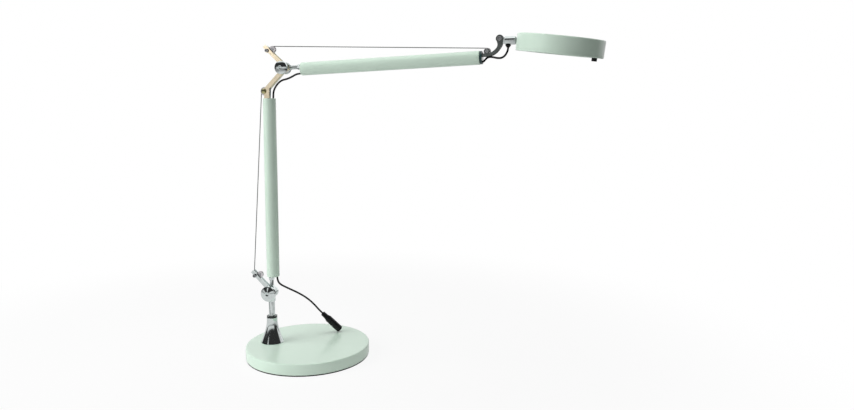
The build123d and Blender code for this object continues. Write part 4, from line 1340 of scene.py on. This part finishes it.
@dataclass
class LowerArm:
    """The lower arm and the elbow's bracket."""

    tube_x: float = 3.7
    tube_from: float = 129.5
    tube_long: float = 290.3
    shank_x: float = 0.8
    dome: tuple[float, float, float] = (4.2, 5.3, 2.6)

    def build(self) -> None:
        """Makes and dresses the lower arm."""
        x, y = STEM
        ArmTube("lower_tube", upright(x + self.tube_x, y, self.tube_from), self.tube_long).build()
        start = upright(x + self.shank_x, y, PIVOT_LOW[1] + 12.2)
        Shank("lower", start, 9.3, 5.6, 17.0, Coats.satin).build()
        dress(Coats.pale, "white_plastic", 0.3, "lower_bottom_plug", "lower_top_plug")
        # The near plate's warm tint is painted reflection; the far plate takes the plain chrome.
        dress(Coats.chrome_painted_warm_reflection, "chrome", 0.4, "elbow_plate_near")
        dress(Coats.chrome, "chrome", 0.4, "elbow_plate_far")
        dress(Coats.satin, "satin_metal", 0.3, "elbow_anchor_pin", "elbow_guide_pin")
        Knob("elbow_pivot_bolt", PIVOT_HIGH, 10.3, 3.2, 0.5, back=7.4).build()
        FarNut("elbow_pivot_nut", PIVOT_HIGH, 9.4, 5.0).build()
        self.bend_pin()
        Wheel("bend_pulley", BEND, flange=6.9, groove=5.5).build()
        Wheel("elbow_guide_pulley", PIVOT_HIGH + GUIDE).build()

    def bend_pin(self) -> None:
        """Makes the bend wheel's pin: a shaft and a head whose dome rises by h root(1 - (r / R)^2)."""
        wide, rim, rise = self.dome
        radius = wide * np.cos(np.linspace(0, math.pi / 2, 12))
        dome = list(zip(radius, rim + rise * np.sqrt(np.clip(1 - (radius / wide) ** 2, 0, 1))))
        shaft = [(0.0, -5.8), (3.0, -5.8), (3.2, -5.5), (3.2, -PLATE_FACE), (1.5, -PLATE_FACE),
                 (1.5, PLATE_FACE), (wide, PLATE_FACE)]
        piece = stack("bend_pulley_pin_dome", facing_viewer(BEND), shaft + dome, sides=48)
        settle(piece, Coats.olive_chrome, "brass", "bend_pulley_pin")


@dataclass
class UpperArm:
    """The upper arm, its end plug and the links that carry the head."""

    tube_from: float = 30.6
    tube_long: float = 283.4
    tube_drop: float = -3.28

    def build(self) -> None:
        """Makes and dresses the upper arm."""
        ArmTube("upper_tube", along_upper(self.tube_from, self.tube_drop), self.tube_long).build()
        # The upper thread's dark chrome is painted dark reflection and shade seen between eye and nut; the
        # lower thread is satin steel.
        Shank("upper", along_upper(12.2, 0.0), 11.8, 6.2, 19.5, Coats.dark_chrome).build()
        dress(Coats.pale, "white_plastic", 0.3, "upper_inner_plug")
        dress(Coats.plug, "dark_plug", 0.5, "upper_end_plug")
        dress(Coats.dark_chrome, "chrome", 0.35, "head_link_near", "head_link_far")
        dress(Coats.satin, "satin_metal", 0.25, "end_pulley_pin", "knuckle_bolt", "knuckle_nut")
        Wheel("end_pulley", END_WHEEL).build()


@dataclass
class Knuckle:
    """The stub that the head turns on, with the lead's grommet."""

    grommet_x: float = 385.3
    grommet_top: float = 495.9
    grommet_long: float = 3.9

    def build(self) -> None:
        """Makes and dresses the knuckle."""
        dress(Coats.chrome, "chrome", 0.3, "knuckle_stub")
        top, low = self.grommet_top, self.grommet_top - self.grommet_long
        place = upright(STEM[0] + self.grommet_x, STEM[1])
        rows = rounded([(1.56, low), (2.7, low, 0.4), (2.9, top - 2.3, 0.2), (4.0, top - 2.0, 0.5),
                        (4.0, top - 0.5, 0.3), (2.6, top), (1.56, top)])
        piece = stack("lead_grommet_boot", place, rows, sides=48, ring=True)
        settle(piece, Coats.rubber, "black_rubber", "lead_grommet")


@dataclass
class LampHead:
    """The flat round head."""

    radius: float = 62.8
    thick: float = 25.2
    skin: float = 2.0
    ring: float = 3.0
    edge: float = 2.0
    pitch: float = math.radians(6.8)
    roll: float = math.radians(-3.95)
    foot: tuple[float, float] = (458.5, 480.2)
    button_reach: float = 50.0
    button_radius: float = 3.9
    button_proud: float = 4.8

    def place(self) -> Place:
        """The head's own place: its underside's centre, with the out axis up through it."""
        up = vector(math.sin(self.pitch) * math.cos(self.roll), math.sin(self.roll),
                    math.cos(self.pitch) * math.cos(self.roll))
        across = unit(vector(1, 0, 0) - up * up[0])
        return Place(world(*self.foot), across, np.cross(up, across), up)

    def shell(self) -> None:
        """Makes the shell: a cap with a rounded upper edge, and its inner wall."""
        low, roof = self.ring + 0.08, self.thick - self.skin
        inner = self.radius - self.skin
        rows = rounded([(0.0, roof), (inner, roof, 1.6), (inner, low), (self.radius, low, 0.12),
                        (self.radius, self.thick, self.edge),
                        (30.0, self.thick), (0.0, self.thick)], steps=8)
        piece = stack("head_shell_cap", self.place(), rows, sides=160)
        settle(piece, Coats.enamel, "white_enamel", "head_shell")

    def button(self) -> None:
        """Makes the switch's button: a rounded stem with a shallow dish in its face."""
        place = self.place()
        place = Place(place.spot + place.across * self.button_reach, place.across, place.up, place.out)
        low, wide = -self.button_proud, self.button_radius
        rows = rounded([(0.0, low + 0.4), (1.8, low + 0.3, 0.5), (2.6, low, 0.4), (wide, low, 0.6),
                        (wide, self.ring + 2.6, 0.2), (0.0, self.ring + 2.6)])
        piece = stack("switch_button_cap", place, rows, sides=48)
        settle(piece, Coats.plastic, "black_plastic", "switch_button")

    def build(self) -> None:
        """Makes and dresses the head."""
        self.shell()
        self.button()
        dress(Coats.enamel, "white_enamel", 0.3, "lens_ring")
        dress(Coats.satin, "satin_metal", 0.2, "head_spigot")
        repaint(Coats.opal, "diffuser")
        repaint(Coats.board, "led_board")
        repaint(Coats.plastic, "switch_body")


def main() -> None:
    Stage().build()
    Wiring().build()
    for unit_class in (WeightedBase, SwivelStem, LowerArm, UpperArm, Knuckle, LampHead):
        unit_class().build()
        log.info("%s built", unit_class.__name__)


if __name__ == "__main__":
    main()
